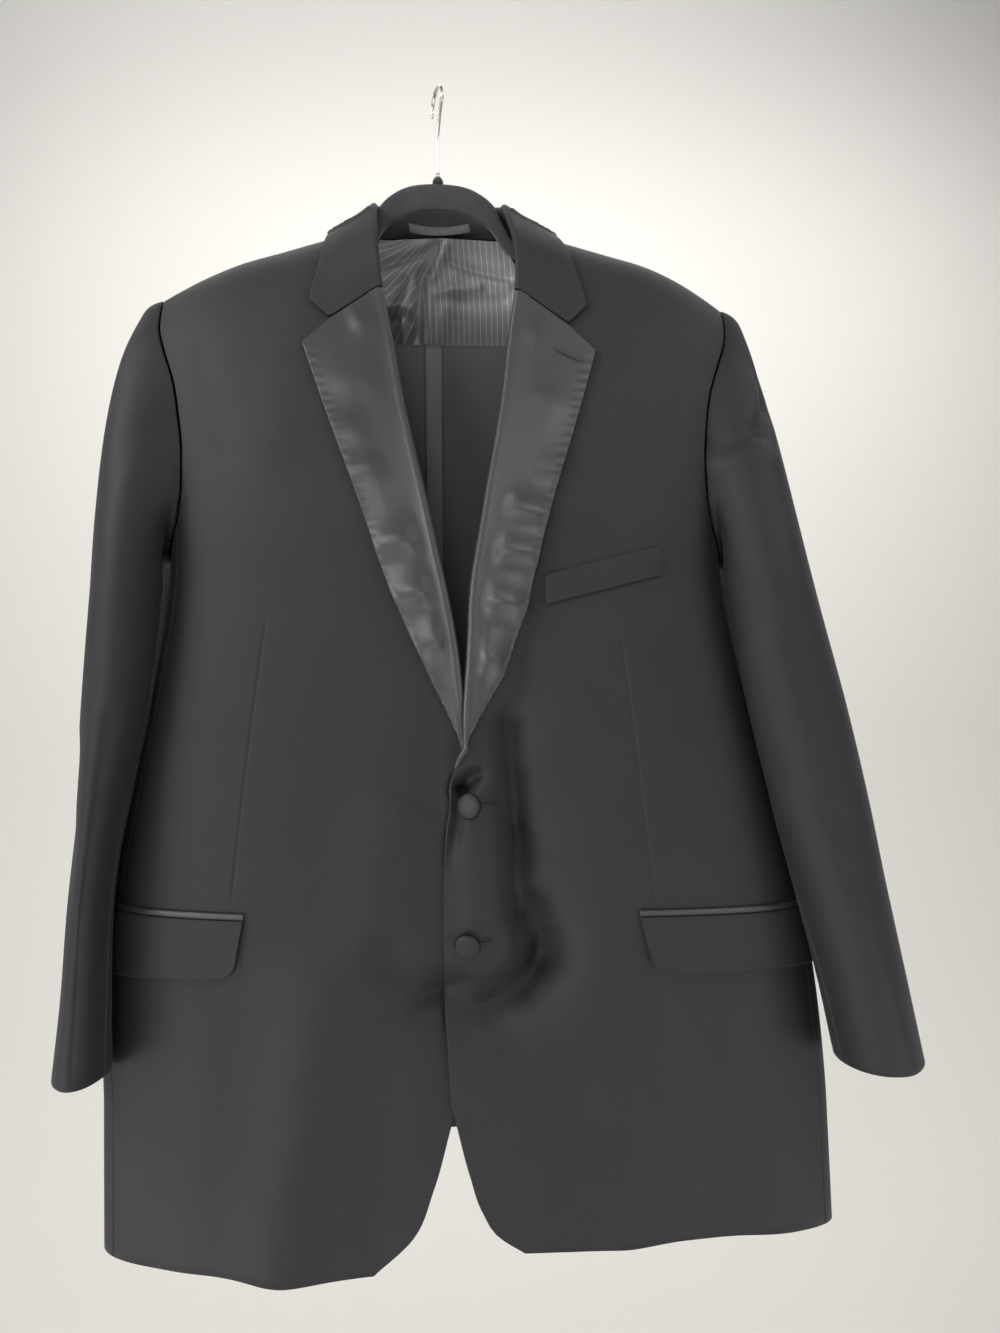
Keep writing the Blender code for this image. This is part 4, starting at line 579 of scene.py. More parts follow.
def body_point(side, across, height, behind, lift=0.0):
    """Point of the jacket's outside this far across and down, moved out by lift, and the normal there."""
    across, height, lift = np.broadcast_arrays(np.asarray(across, float), height, lift)
    behind = np.broadcast_to(behind, across.shape)
    out = np.where(behind, 1.0, -1.0)

    def relief(dx, dz):
        x, z = across + dx, height + dz
        return squared_depth(x, z, behind), fold_rise(side, x, z, behind)

    square, rise = relief(0, 0)
    deep = np.sqrt(np.maximum(square, 0))
    h = SLOPE_STEP
    slope_x, fold_x = np.subtract(relief(h, 0), relief(-h, 0)) / (2 * h)
    slope_z, fold_z = np.subtract(relief(0, h), relief(0, -h)) / (2 * h)
    normal = [-slope_x - 2 * deep * fold_x, 2 * deep * out, -slope_z - 2 * deep * fold_z]
    normal = unit(np.stack(normal, -1))
    point = np.stack([across, out * (deep + rise), height], -1) + normal * lift[..., None]
    return mirrored(point, side), mirrored(normal, side)


def girth_point(side, girth, height, lift=0.0):
    """The same by girth: 0 at the centre front, 0.5 at the side, 1 at the centre back."""
    girth, height = np.broadcast_arrays(np.asarray(girth, float), height)
    behind = girth > 0.5
    across = across_at(girth, height)
    return body_point(side, np.where(behind, across, across * np.sign(girth)), height, behind, lift)


def hung(points):
    """Moves jacket points from the straight layout to where they hang."""
    moved = np.array(points, float)
    across, height = moved[..., 0].copy(), moved[..., 2].copy()
    sides = np.where(across > 0, read(HANG, height, "left"), read(HANG, height, "right"))
    moved[..., 0] += mix(read(HANG, height, "middle"), sides, ease(*HANG_SIDES, np.abs(across)))
    moved[..., 2] -= read(HANG, height, "drop") * across
    return moved


def tilted(points):
    """Moves hanger points from the straight layout to where it hangs, turned about the hook's seat."""
    c, s = np.cos(HANGER_TILT), np.sin(HANGER_TILT)
    x, y, z = np.moveaxis(np.array(points, float), -1, 0)
    return np.stack([x * c + z * s, y, z * c - x * s], -1)


# ---- Meshes ----

def arc_along(grid, axis):
    """Distance along each row (axis 1) or column (axis 0) of a grid of points."""
    run = np.cumsum(np.linalg.norm(np.diff(grid, axis=axis), axis=-1), axis=axis)
    return np.concatenate([np.zeros_like(np.take(run, [0], axis)), run], axis)


def drawn_in(grid, by):
    """Moves the four edges of a grid inward."""
    moved = grid.copy()
    for edge, inner in ((0, 1), (-1, -2)):
        moved[edge] += unit(grid[inner] - grid[edge]) * by
    for edge, inner in ((0, 1), (-1, -2)):
        moved[:, edge] += unit(grid[:, inner] - grid[:, edge]) * by
    return moved


def build_mesh(name, points, faces, uv=None, finish=None):
    """A smooth mesh object from points, quads or triangles, and a flat-cloth coordinate for each point."""
    mesh = bpy.data.meshes.new(name)
    mesh.from_pydata(np.asarray(points).tolist(), [], faces)
    mesh.update()
    mesh.shade_smooth()
    if uv is not None:
        layer = mesh.uv_layers.new(name="cloth")
        corner = np.zeros(len(mesh.loops), np.int32)
        mesh.loops.foreach_get("vertex_index", corner)
        layer.data.foreach_set("uv", np.asarray(uv, np.float32)[corner].ravel())
    made = bpy.data.objects.new(name, mesh)
    if finish is not None:
        mesh.materials.append(finish)
    bpy.context.scene.collection.objects.link(made)
    return made


def signed_volume(points, quads):
    quads = points[quads] - points.mean(0)
    halves = np.concatenate([quads[:, [0, 1, 2]], quads[:, [0, 2, 3]]])
    return np.linalg.det(halves).sum() / 6


def shell(name, face, back, uv, finish):
    """A closed thin shell between two grids of points, with a rounded rim."""
    rows, columns = face.shape[:2]
    thick = np.linalg.norm(face - back, axis=-1).mean()
    count = rows * columns
    index = np.arange(count).reshape(rows, columns)
    rim = np.concatenate([index[0, ::-1], index[1:, 0], index[-1, 1:], index[-2:0:-1, -1]])
    middle = ((face + back) / 2).reshape(-1, 3)[rim]
    inner = [drawn_in(grid, BEVEL * thick).reshape(-1, 3) for grid in (face, back)]
    points = np.concatenate([*inner, middle])
    front = np.stack([index[:-1, :-1], index[:-1, 1:], index[1:, 1:], index[1:, :-1]], -1).reshape(-1, 4)
    following = np.roll(rim, -1)
    outer = 2 * count + np.arange(len(rim))
    after = np.roll(outer, -1)
    faces = np.concatenate([
        front,
        front[:, ::-1] + count,
        np.stack([rim, following, after, outer], -1),
        np.stack([outer, after, following + count, rim + count], -1),
    ])
    if signed_volume(points, faces) < 0:
        faces = faces[:, ::-1]
    flat = np.asarray(uv).reshape(-1, 2)
    return build_mesh(name, points, faces.tolist(), np.concatenate([flat, flat, flat[rim]]), finish)


def tube(rings, closed=False):
    """Points and faces of a skin over rings; closed joins the ends, which are otherwise capped."""
    rings = np.asarray(rings)
    count, sides = rings.shape[:2]
    index = np.arange(count * sides).reshape(count, sides)
    first, second = (index, np.roll(index, -1, 0)) if closed else (index[:-1], index[1:])
    quads = [first, np.roll(first, -1, 1), np.roll(second, -1, 1), second]
    quads = np.stack(quads, -1).reshape(-1, 4)
    points = rings.reshape(-1, 3)
    faces = quads.tolist()
    if not closed:
        faces += [index[0, ::-1].tolist(), index[-1].tolist()]
    if signed_volume(points, quads) < 0:
        faces = [face[::-1] for face in faces]
    return points, faces


def swept(route, radii, across, other, sides):
    """A bar along a route, round in the plane of the two directions across it."""
    angles = turns(sides)[:, None]
    spokes = np.cos(angles) * across[..., None, :] + np.sin(angles) * other[..., None, :]
    return tube(route[:, None] + spokes * radii[:, None, None])


def grid_normals(grid):
    return unit(np.cross(np.gradient(grid, axis=1), np.gradient(grid, axis=0)))


def cut_size(grid):
    """Widest row, longest column and area of a grid of points."""
    across, along = arc_along(grid, 1)[:, -1].max(), arc_along(grid, 0)[-1].max()
    diagonals = grid[1:, 1:] - grid[:-1, :-1], grid[1:, :-1] - grid[:-1, 1:]
    area = np.linalg.norm(np.cross(*diagonals), axis=-1).sum() / 2
    return float(across), float(along), float(area)


# ---- Finished pieces ----

def sewn(node, face, back, uv, slot, finish=None, place=hung):
    """The finished cloth piece that stands for a node of the model, between two grids of points."""
    face, back = place(face), place(back)
    made = shell(f"{node}_cloth", face, back, uv, FINISH[finish or slot])
    width, length, area = cut_size(face)
    width, length = (max(np.ceil(size * 1000) / 1000, LEAST_CUT) for size in (width, length))
    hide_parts(node)
    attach(made, "root")
    return made


def fitting(name, skin, slot, *nodes, uv=None, finish=None):
    """A finished piece that isn't cloth of its own, from its points and faces."""
    made = build_mesh(name, *skin, uv, FINISH[finish or slot])
    if nodes:
        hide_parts(*nodes)
    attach(made, "root")
    return made


def folded_leaf(node, middle, slot):
    """A leaf of folded cloth about a grid of its middle points."""
    middle = drawn_in(middle, LEAF_GAP)
    normal = grid_normals(middle)
    uv = np.stack([arc_along(middle, 1), arc_along(middle, 0)], -1)
    sewn(node, middle + normal * LEAF / 2, middle - normal * LEAF / 2, uv, slot)


# ---- Body panels ----

def front_edge(side, height):
    """Distance of a front's edge from the centre line."""
    return read(FRONT_EDGE[side], height, "across")


def seam_girth(height, column):
    """Girth of the front's or back's seam with the side panel, counted from its own centre line."""
    start = girth_at(ARMHOLE[column][-1], ARMHOLE_LOW)
    return mix(start, SIDE_SEAM_GIRTH, ease(ARMHOLE_LOW, ARMHOLE_LOW - SIDE_SEAM_RUN, height))


def down_to_hem(heights):
    """These row heights and the even ones below them."""
    return np.append(heights, np.linspace(heights[-1], HEM_HEIGHT, LOWER_ROWS + 1)[1:])


def outer_edge(rows, column):
    """Girth and height of a panel's outer edge: the armhole, and below it the side seam."""
    height = at_rows(rows, down_to_hem(ARMHOLE["height"]))
    hole = girth_at(read(ARMHOLE, height, column), height)
    return np.where(height >= ARMHOLE_LOW, hole, seam_girth(height, column)), height


def fine_rows(heights, count, dense=0.0):
    """Row numbers of a fine grid over these rows: close at the shoulder and, if dense, by the buttons."""
    over = np.linspace(0, 1, SHOULDER_ROWS) ** 2
    step = np.linspace(heights[1], heights[-1], 400)
    high, low = DENSE_HEIGHTS
    density = 1 + dense * ease(high + DENSE_FADE, high, step) * ease(low - DENSE_FADE, low, step)
    reached = np.append(0, np.cumsum((density[1:] + density[:-1]) / 2))
    even = np.interp(np.linspace(0, reached[-1], count), reached, step)[1:]
    return np.append(over, np.interp(-even, -np.asarray(heights), np.arange(len(heights))))


def panel_rows(inner, outer, shares, rows):
    """Girths and heights of a grid between two edges; the upper rows follow the shoulder's ridge."""
    girth = mix(inner[0][:, None], outer[0][:, None], shares)
    height = mix(inner[1][:, None], outer[1][:, None], shares)
    across = across_at(girth, height)
    straight = mix(ridge(across[:, :1]), ridge(across[:, -1:]), shares)
    follow = np.clip(1 - rows / RIDGE_ROWS, 0, 1)[:, None]
    return girth, height + follow * (ridge(across) - straight)


def dart_shares(side, shares, inner, outer, heights):
    """Shares of a front's columns, drawn together along the dart so that its groove is crisp."""
    top_across, top, low_across, low = DARTS[side]
    across = mix(top_across, low_across, np.clip((heights - top) / (low - top), 0, 1))
    dart = (girth_at(across, heights) - inner) / (outer - inner)
    far, close = DART_DRAW
    pull = DART_PULL * ease(top + far, top + close, heights) * ease(low - far, low - close, heights)
    away = shares - dart[:, None]
    return shares - pull[:, None] * away * np.exp(-(away / DART_REACH) ** 2)


def dart_rise(side, across, height):
    """The narrow groove of a dart's seam, fading at its ends."""
    top_across, top, low_across, low = DARTS[side]
    line = mix(top_across, low_across, (height - top) / (low - top))
    within = ease(top + 0.004, top - 0.012, height) * ease(low - 0.004, low + 0.002, height)
    return -DART_DEPTH * np.exp(-((across - line) / DART_WIDTH) ** 2) * within


def front_grid(side, count, columns):
    """Girths and heights of a front, its columns from its edge to the armhole."""
    rows = fine_rows(FRONT_ROW_HEIGHTS, count, DENSE_BY_BUTTONS)
    inner_z = at_rows(rows, FRONT_ROW_HEIGHTS)
    inner = girth_at(front_edge(side, inner_z), inner_z), inner_z
    outer = outer_edge(rows, "front")
    shares = np.linspace(0, 1, columns) ** FRONT_COLUMN_POWER
    spread = dart_shares(side, shares, inner[0], outer[0], (inner_z + outer[1]) / 2)
    return panel_rows(inner, outer, spread, rows)


def back_grid(side, count, columns):
    """Columns run from the side seam to the centre back; the first ones share the front's shoulder seam."""
    heights = down_to_hem(BACK_ROW_HEIGHTS)
    rows = fine_rows(heights, count)
    centre_z = at_rows(rows, heights)
    gap = np.where(centre_z < VENT_TOP, read(VENT[side], centre_z, "across"), 0)
    outer, outer_z = outer_edge(rows, "back")
    neck_columns = int(columns * NECK_SHARE)
    neck_steps = (np.arange(1, neck_columns + 1) / neck_columns) ** NECK_COLUMN_POWER
    shoulder = np.linspace(0, 1, columns - neck_columns)
    shares = np.append(shoulder * (1 - NECK_SHARE), 1 - NECK_SHARE + NECK_SHARE * neck_steps)
    girth, height = panel_rows((1 - outer, outer_z), (1 - girth_at(gap, centre_z), centre_z), shares, rows)
    ends = girth_at(np.array([ARMHOLE["front"][0], FRONT_EDGE[side]["across"][0]]), ARMHOLE["height"][0])
    seam, neck = mix(*ends, shoulder), mix(1 - ends[1], 1, neck_steps)
    top = BODY["height"][0]
    neck_height = read(BACK_NECK, across_at(neck, top), "height")
    top_height = np.append(ridge(across_at(seam, top)), neck_height)
    blend = np.clip(rows, 0, 1)[:, None]
    return mix(np.append(1 - seam, neck), girth, blend), mix(top_height, height, blend)


def side_grid(side, count, columns):
    """Girths and heights of a side panel, the same on both sides."""
    shares = np.linspace(0, 1, columns)
    seam = np.linspace(ARMHOLE_LOW, HEM_HEIGHT, count)[:, None]
    girth = mix(seam_girth(seam, "front"), 1 - seam_girth(seam, "back"), shares)
    top = at_rows(shares * (len(UNDERARM) - 1), UNDERARM)
    return girth, mix(top, HEM_HEIGHT, np.linspace(0, 1, count)[:, None])


def add_body_panels():
    for side, word in SIDES:
        for part, grid, size in (("front", front_grid, FRONT_GRID), ("side", side_grid, SIDE_GRID),
                                 ("back", back_grid, BACK_GRID)):
            girth, height = grid(side, *size)
            height = height - read(HEM_DROP[side], girth, "drop") * ease(HEM_DROP_FROM, HEM_HEIGHT, height)
            point, normal = girth_point(side, girth, height)
            face = drawn_in(point, PANEL_GAP / 2)
            if part == "front":
                face = face + normal * dart_rise(side, face[..., 0] * side, face[..., 2])[..., None]
            uv = np.stack([girth * GIRTH_LENGTH, height], -1)
            sewn(f"{part}_{word}", face, face - normal * WALL, uv, "wool")


# ---- Sleeves ----

def armhole_stations(side, station):
    """Points round an armhole by station: 0 at its top, down the front, under the arm, and up the back."""
    drops = ARMHOLE["height"]
    last = len(drops) - 1
    front_z, back_z = at_rows(station, drops), at_rows(STATIONS - station, drops)
    under_z = at_rows(station - last, UNDERARM)
    front = girth_at(read(ARMHOLE, front_z, "front"), front_z)
    back = 1 - girth_at(read(ARMHOLE, back_z, "back"), back_z)
    ends = seam_girth(ARMHOLE_LOW, "front"), 1 - seam_girth(ARMHOLE_LOW, "back")
    under = mix(*ends, np.clip((station - last) / (len(UNDERARM) - 1), 0, 1))
    parts = [station < last, station > STATIONS - last]
    girth, height = np.select(parts, [front, back], under), np.select(parts, [front_z, back_z], under_z)
    return girth_point(side, girth, height)[0]


def sleeve_ring(side, height, station):
    """One ring of a sleeve: an ellipse turned so that its front edge comes inward."""
    inner, outer, middle, depth, turn = (read(SLEEVE[side], height, name) for name in list(SLEEVE[side])[1:])
    turn = np.radians(turn)
    short = np.sqrt(((outer - inner) / 2) ** 2 - (depth * np.sin(turn)) ** 2) / np.cos(turn)
    angle = 2 * np.pi * station / STATIONS
    out, fore = short * np.cos(angle), -depth * np.sin(angle)
    x = (outer + inner) / 2 + out * np.cos(turn) + fore * np.sin(turn)
    y = middle - out * np.sin(turn) + fore * np.cos(turn)
    return mirrored(np.stack([x, y, np.full(len(station), height)], -1), side)


def beside_body(side, ring, strength):
    """Pushes ring points that would touch the body out beside it."""
    x, y, z = np.moveaxis(mirrored(ring, side), -1, 0)
    share = np.clip(1 - (y / body_depth(z, y > 0)) ** 2, 0, 1) ** (1 / SIDE_ROUNDING)
    edge = read(BODY, z, "half_width") * share + SLEEVE_CLEARANCE
    clear = (x + edge + np.hypot(x - edge, SLEEVE_SOFT)) / 2
    return mirrored(np.stack([mix(x, clear, strength), y, z], -1), side)


def sleeve_rings(side, station):
    """Rings of a sleeve: a curved head from the armhole to the upper arm, then down to the cuff."""
    start = armhole_stations(side, station) + np.array([side * SLEEVE_OUT, 0, 0])
    heights, head = SLEEVE[side]["height"], SLEEVE_HEAD[side]
    arm = sleeve_ring(side, heights[0], station)
    angle = 2 * np.pi * station / STATIONS
    span = np.linalg.norm(arm - start, axis=1, keepdims=True)
    out = np.stack([side + 0 * angle, -HEAD_FORE * np.sin(angle), -HEAD_DOWN + 0 * angle], -1)
    leave = start + unit(out) * (SLEEVE_PUFF + head["puff"] * span)
    arrive = arm + np.array([-side * head["slant"], HEAD_BACK, 1]) * SLEEVE_ARRIVE * span
    rings = []
    close, wide = np.linspace(0, HEAD_CLOSE, 5)[:-1], np.linspace(HEAD_CLOSE, 1, SLEEVE_HEAD_RINGS)[:-1]
    for t in np.append(close, wide):
        bend = (1 - t) ** 3 * start + 3 * t * (1 - t) ** 2 * leave
        bend = bend + 3 * t * t * (1 - t) * arrive + t ** 3 * arm
        rings.append(beside_body(side, bend, ease(0, HEAD_CLEAR, t)))
    for height in np.linspace(heights[0], heights[-1], SLEEVE_RINGS):
        rings.append(beside_body(side, sleeve_ring(side, height, station), 1))
    return np.array(rings)


def sleeve_rise(side, rings, station):
    """Creases of a sleeve; distance round it is taken from its stations."""
    rise = np.zeros(rings.shape[:2])
    for crease_side, z0, start, z1, end, width, height in SLEEVE_CREASES:
        if crease_side == side:
            row = start, z0 / STATION_PITCH, end, z1 / STATION_PITCH, width / STATION_PITCH, height
            rise += line_rise(row, station[None, :], rings[..., 2] / STATION_PITCH)
    return rise


def add_sleeves():
    top = np.linspace(BACK_SEAM_STATION, STATIONS + FRONT_SEAM_STATION, TOP_SLEEVE_COLUMNS)
    under = np.linspace(FRONT_SEAM_STATION, BACK_SEAM_STATION, UNDER_SLEEVE_COLUMNS)
    for side, word in SIDES:
        for part, station in (("top", top), ("under", under)):
            rings = sleeve_rings(side, station % STATIONS)
            outward = rings - sleeve_rings(side, np.arange(0.0, STATIONS)).mean(1, keepdims=True)
            normals = grid_normals(rings)
            normals = normals * np.sign((normals * outward).sum())
            rings = rings + normals * sleeve_rise(side, rings, station % STATIONS)[..., None]
            face = drawn_in(rings, SLEEVE_SEAM_GAP / 2)
            uv = np.stack([station * STATION_LENGTH + 0 * rings[..., 0], rings[..., 2]], -1)
            sewn(f"{part}_sleeve_{word}", face, face - normals * LEAF, uv, "wool")


# ---- Lapels and collar ----

def wave_rise(side, share, height):
    """Waves across the satin, as crests that turn quickly at the top and fall away softly."""
    rise = np.zeros(np.broadcast(share, height).shape)
    for wave_side, crest, middle, reach, tall, high, slant in WAVES:
        if wave_side == side:
            down = height - crest + slant * (share - middle) * SLANT_RUN
            fall = tall * np.where(down > 0, CREST_ABOVE, CREST_BELOW)
            down = (np.hypot(down, CREST_ROUND) - CREST_ROUND) / fall
            rise = rise + high * np.exp(-down ** 1.3) * np.exp(-np.abs((share - middle) / reach) ** 3)
    return rise


def fold_angles(most):
    """Angles round a fold's bend, in radians, up to this many degrees either way."""
    return np.radians(np.linspace(-most, most, FOLD_COLUMNS))


def lapel_lines(side, t):
    """The lapel's fold and outer edge at these shares of the way down, and how its end narrows."""
    end = LAPEL_END[side]
    fold_z, edge_z = mix(GORGE_END[1], end, t), mix(LAPEL_POINT[1], end, t)
    fold_x = read(ROLL_LINE, fold_z, "across") + ROLL_END[side] * ease(*ROLL_END_RUN, fold_z)
    fold_x = fold_x + LAPEL_MEET[side] * ease(*LAPEL_MEET_RUN, fold_z)
    tail = ease(ROLL_END_HEIGHT + TAIL_BLEND, ROLL_END_HEIGHT - TAIL_BLEND, fold_z)
    fold_x = mix(fold_x, np.minimum(fold_x, front_edge(side, fold_z) + TAIL_OVER), tail)
    taper = mix(1.0, LAPEL_TIP, ease(*TAPER_RUN, fold_z))
    taper = taper * mix(1.0, LAPEL_TAIL, ease(ROLL_END_HEIGHT, end, fold_z))
    edge_x = read(LAPEL_EDGE[side], edge_z, "across")
    narrow = np.clip((edge_z - LAPEL_TIP_HEIGHT) / (LAPEL_NARROW_FROM - LAPEL_TIP_HEIGHT), 0, 1)
    reach = np.interp(-LAPEL_NARROW_FROM, -edge_z, edge_x - fold_x)
    edge_x = np.where(edge_z < LAPEL_NARROW_FROM, fold_x + reach * narrow, edge_x)
    return fold_x, fold_z, np.maximum(edge_x, fold_x + LEAST_WIDTH * taper), edge_z, taper


def lapel_grid(side, rows, leaf_columns):
    """Middle of the lapel's cloth: sewn to the front's edge, up to the roll line and back over the chest."""
    t = np.linspace(0, 1, rows)
    fold_x, fold_z, edge_x, edge_z, taper = lapel_lines(side, t)
    seam_x = front_edge(side, fold_z) - SEAM_GAP
    near = np.minimum(fold_x + FOLD_HALF * taper, mix(fold_x, seam_x, 0.6))
    low = mix(LOW_END, 1.0, ease(LAPEL_TIP * LAPEL_TAIL, 1.0, taper))
    under, over = -WALL / 2, ROLL_LIFT * low - LEAF / 2
    columns = [(mix(seam_x, near, s), fold_z, under + 0 * t) for s in np.linspace(0, 1, 5)]
    for angle in fold_angles(75):
        across = fold_x + (FOLD_CENTRE - FOLD_HALF * 0.75 * np.cos(angle)) * taper
        columns.append((across, fold_z, mix(under, over, (1 + np.sin(angle)) / 2)))
    to_notch = np.hypot(*np.subtract(NOTCH, GORGE_END)) / np.hypot(*np.subtract(LAPEL_POINT, GORGE_END))
    gorge = np.array([(GORGE_END[0] + LEAF_START, GORGE_END[1]), NOTCH, LAPEL_POINT])
    fade = np.exp(-(t / NOTCH_FADE) ** 2)
    for share in np.linspace(0, 1, leaf_columns):
        x, z = mix(fold_x + LEAF_START * taper, edge_x, share), mix(fold_z, edge_z, share)
        kink = [np.interp(share, (0, to_notch, 1), line) for line in gorge.T]
        x, z = x + fade * (kink[0] - x[0]), z + fade * (kink[1] - z[0])
        lift = mix(ROLL_LIFT * low, EDGE_LIFT * low, share ** 0.6) - LEAF / 2
        pucker = np.sin(2 * np.pi * z / PUCKER_PERIOD + PUCKER_STRAY * np.sin(z * 61))
        pucker = pucker * np.exp(-((1 - share) / PUCKER_REACH) ** 2) * ease(0, 0.05, t)
        waves = wave_rise(side, share, z) * ease(0, WAVES_FROM, share) + PUCKER_RISE * pucker
        columns.append((x, z, lift + waves * ease(0.3, 1, taper)))
    across, height, lift = (np.stack(part, 1) for part in zip(*columns))
    return body_point(side, across, height, False, lift)[0]


def add_lapels():
    for side, word in SIDES:
        folded_leaf(f"lapel_{word}", lapel_grid(side, *LAPEL_GRID), "satin")


def collar_half():
    """Middle of the collar's cloth for the wearer's left half, from the gorge round to the centre back."""
    stations = len(COLLAR["seam_x"])
    at = np.linspace(0, stations - 1, COLLAR_GRID[0])
    seam_x, seam_z, *fold, edge_x, edge_z = (at_rows(at, values) for values in COLLAR.values())
    behind = at > COLLAR_BEHIND
    seam = body_point(LEFT, seam_x, seam_z, behind, STAND_LIFT)[0]
    edge = body_point(LEFT, edge_x, edge_z, behind, COLLAR_EDGE_LIFT)[0]
    fold = np.stack(fold, -1)
    out = unit(np.cross(np.gradient(fold, axis=0), edge - fold))
    out = out * np.sign((out * (edge * [1, 1, 0])).sum(-1, keepdims=True) + 1e-9)
    down = unit(unit(seam - fold) + unit(edge - fold)) * COLLAR_BEND
    out = out * smooth(at, *COLLAR_FOLD_HALF)[:, None]
    fall_top = fold + down + out
    columns = [mix(seam, fold + down - out, s) for s in np.linspace(0, 1, STAND_COLUMNS)]
    columns += [fold + down * (1 - np.cos(angle)) + out * np.sin(angle) for angle in fold_angles(70)]
    first_fall = len(columns)
    shares = np.linspace(0, 1, COLLAR_GRID[1])
    grid = np.stack(columns + [mix(fall_top, edge, share) for share in shares], 1)
    notch = body_point(LEFT, NOTCH[0], NOTCH[1] + COLLAR_OVER_NOTCH, False, COLLAR_EDGE_LIFT)[0]
    bend = notch - mix(fall_top, edge, COLLAR_NOTCH_SHARE)[0]
    weight = np.interp(shares, *COLLAR_NOTCH_WEIGHT)
    fade = np.exp(-(at / COLLAR_NOTCH_FADE) ** 2)[:, None, None]
    grid[:, first_fall:] += fade * bend * weight[:, None]
    grid[:, first_fall + 1:] = clear_of_body(grid[:, first_fall + 1:], behind)
    return grid


def clear_of_body(fall, behind):
    """Lifts the fall where a straight run would cut into the shoulder."""
    surface, normal = body_point(LEFT, fall[..., 0], fall[..., 2], behind[:, None])
    over_ridge = fall[..., 2] - ridge(fall[..., 0])
    above = np.where(over_ridge > 0, over_ridge, ((fall - surface) * normal).sum(-1))
    return fall + normal * np.maximum(COLLAR_EDGE_LIFT - above, 0)[..., None]


def add_collar():
    half = collar_half()
    half[-1, :, 0] = 0
    middle = np.concatenate([half, mirrored(half[-2::-1], RIGHT)])
    folded_leaf("collar", middle, "wool")


# ---- Pockets, buttons, lining ----

def raised(node, point, low, high, uv, slot):
    """A piece that lies on the body: point gives the body's points, moved out by a lift."""
    sewn(node, point(high)[0], point(low)[0], uv, slot)


def pocket_girths(side, distances):
    """Girths at these distances along a hip pocket's mouth."""
    inner, top = POCKET[side]["inner"], POCKET[side]["top"]
    girths = np.linspace(girth_at(inner, top), 0.6, 400)
    return np.interp(distances, run_of(girth_point(side, girths, top)[0]), girths)


def add_hip_pockets():
    far = POCKET_LENGTH - POCKET_END
    along = np.linspace(0, POCKET_END, 14)[:-1], np.linspace(POCKET_END, far, 40)
    along = np.concatenate([*along, np.linspace(far, POCKET_LENGTH, 14)[1:]])
    for side, word in SIDES:
        start = POCKET[side]["top"]
        top = start + POCKET[side]["rise"] * along / POCKET_LENGTH
        share = np.linspace(0, 1, 7)[:, None]
        girth = pocket_girths(side, along) + 0 * share
        height = top - JET_HEIGHT * share
        lift = JET_LIFT + JET_ROUND * np.sin(np.pi * share) ** 0.6 + 0 * along
        uv = np.stack([along + 0 * share, JET_HEIGHT * share + 0 * along], -1)
        raised(f"jet_{word}", partial(girth_point, side, girth, height), PATCH_LIFT, lift, uv, "satin")
        near_end = np.minimum(along, POCKET_LENGTH - along)
        cut = FLAP_CORNER - np.sqrt(FLAP_CORNER ** 2 - np.maximum(FLAP_CORNER - near_end, 0) ** 2)
        share = np.linspace(0, 1, 22)[:, None]
        height = mix(top - JET_HEIGHT - SEAM_GAP, start - FLAP_HEIGHT + cut, share)
        girth = pocket_girths(side, along + FLAP_SLANT * share)
        curl = FLAP_CURL * share ** 3 + FLAP_CURL / 2 * np.sin(along * 47 + side) * share ** 2
        point, uv = partial(girth_point, side, girth, height), np.stack([along + 0 * share, height], -1)
        raised(f"flap_{word}", point, PATCH_LIFT + curl * 0.6, FLAP_LIFT + curl, uv, "wool")


def add_welt():
    t, share = np.linspace(0, 1, 50), np.linspace(0, 1, 14)[:, None]
    height = mix(WELT["inner_top"], WELT["outer_top"], t) - WELT["height"] * share
    across = mix(WELT["inner"], WELT["outer"], t) + 0 * height
    lift = WELT_LIFT + WELT_ROUND * np.sin(np.pi * np.clip(share * 1.02, 0, 1)) ** 0.4
    point = partial(body_point, LEFT, across, height, False)
    raised("welt_chest", point, 0.0006, lift, np.stack([across, height], -1), "wool")


def add_buttons():
    """Covered buttons: a domed disc, turned about its own axis, on the lapped front."""
    angles = turns(56)
    for word, across, height in BUTTONS:
        seat, normal = body_point(LEFT, across, height, False, BUTTON_SEAT)
        level = unit(np.cross(normal, [0, 0, 1.0]))
        wheel = np.cos(angles)[:, None] * level + np.sin(angles)[:, None] * np.cross(level, normal)
        rings = []
        for radius, lift in BUTTON_PROFILE:
            gather = 1 + GATHER_RISE * np.sin(angles * GATHERS) * np.clip((0.5 - lift) * 3, 0, 1)
            spokes = wheel * (BUTTON_RADIUS * radius * gather)[:, None]
            rings.append(seat + spokes + normal * BUTTON_THICKNESS * lift)
        circle = np.stack([np.cos(angles), np.sin(angles)], -1) * BUTTON_RADIUS
        flat = np.concatenate([circle * radius for radius, lift in BUTTON_PROFILE])
        skin = tube(hung(rings))
        fitting(f"button_{word}_covered", skin, "satin", f"button_{word}", uv=flat, finish="button")


def thread_bar(name, start, end, lift, slot):
    """One side of a worked buttonhole: a bar of close stitches between two places on the left front."""
    t = np.linspace(0, 1, 44)
    points = hung(body_point(LEFT, mix(start[0], end[0], t), mix(start[1], end[1], t), False, lift)[0])
    tangent = unit(np.gradient(points, axis=0))
    across = unit(np.cross(tangent, [0, 1.0, 0]))
    radii = THREAD_RADIUS * (1 + STITCH_RISE * np.cos(np.arange(len(points)) * np.pi))
    fitting(name, swept(points, radii, across, np.cross(tangent, across) * 0.7, 10), slot)


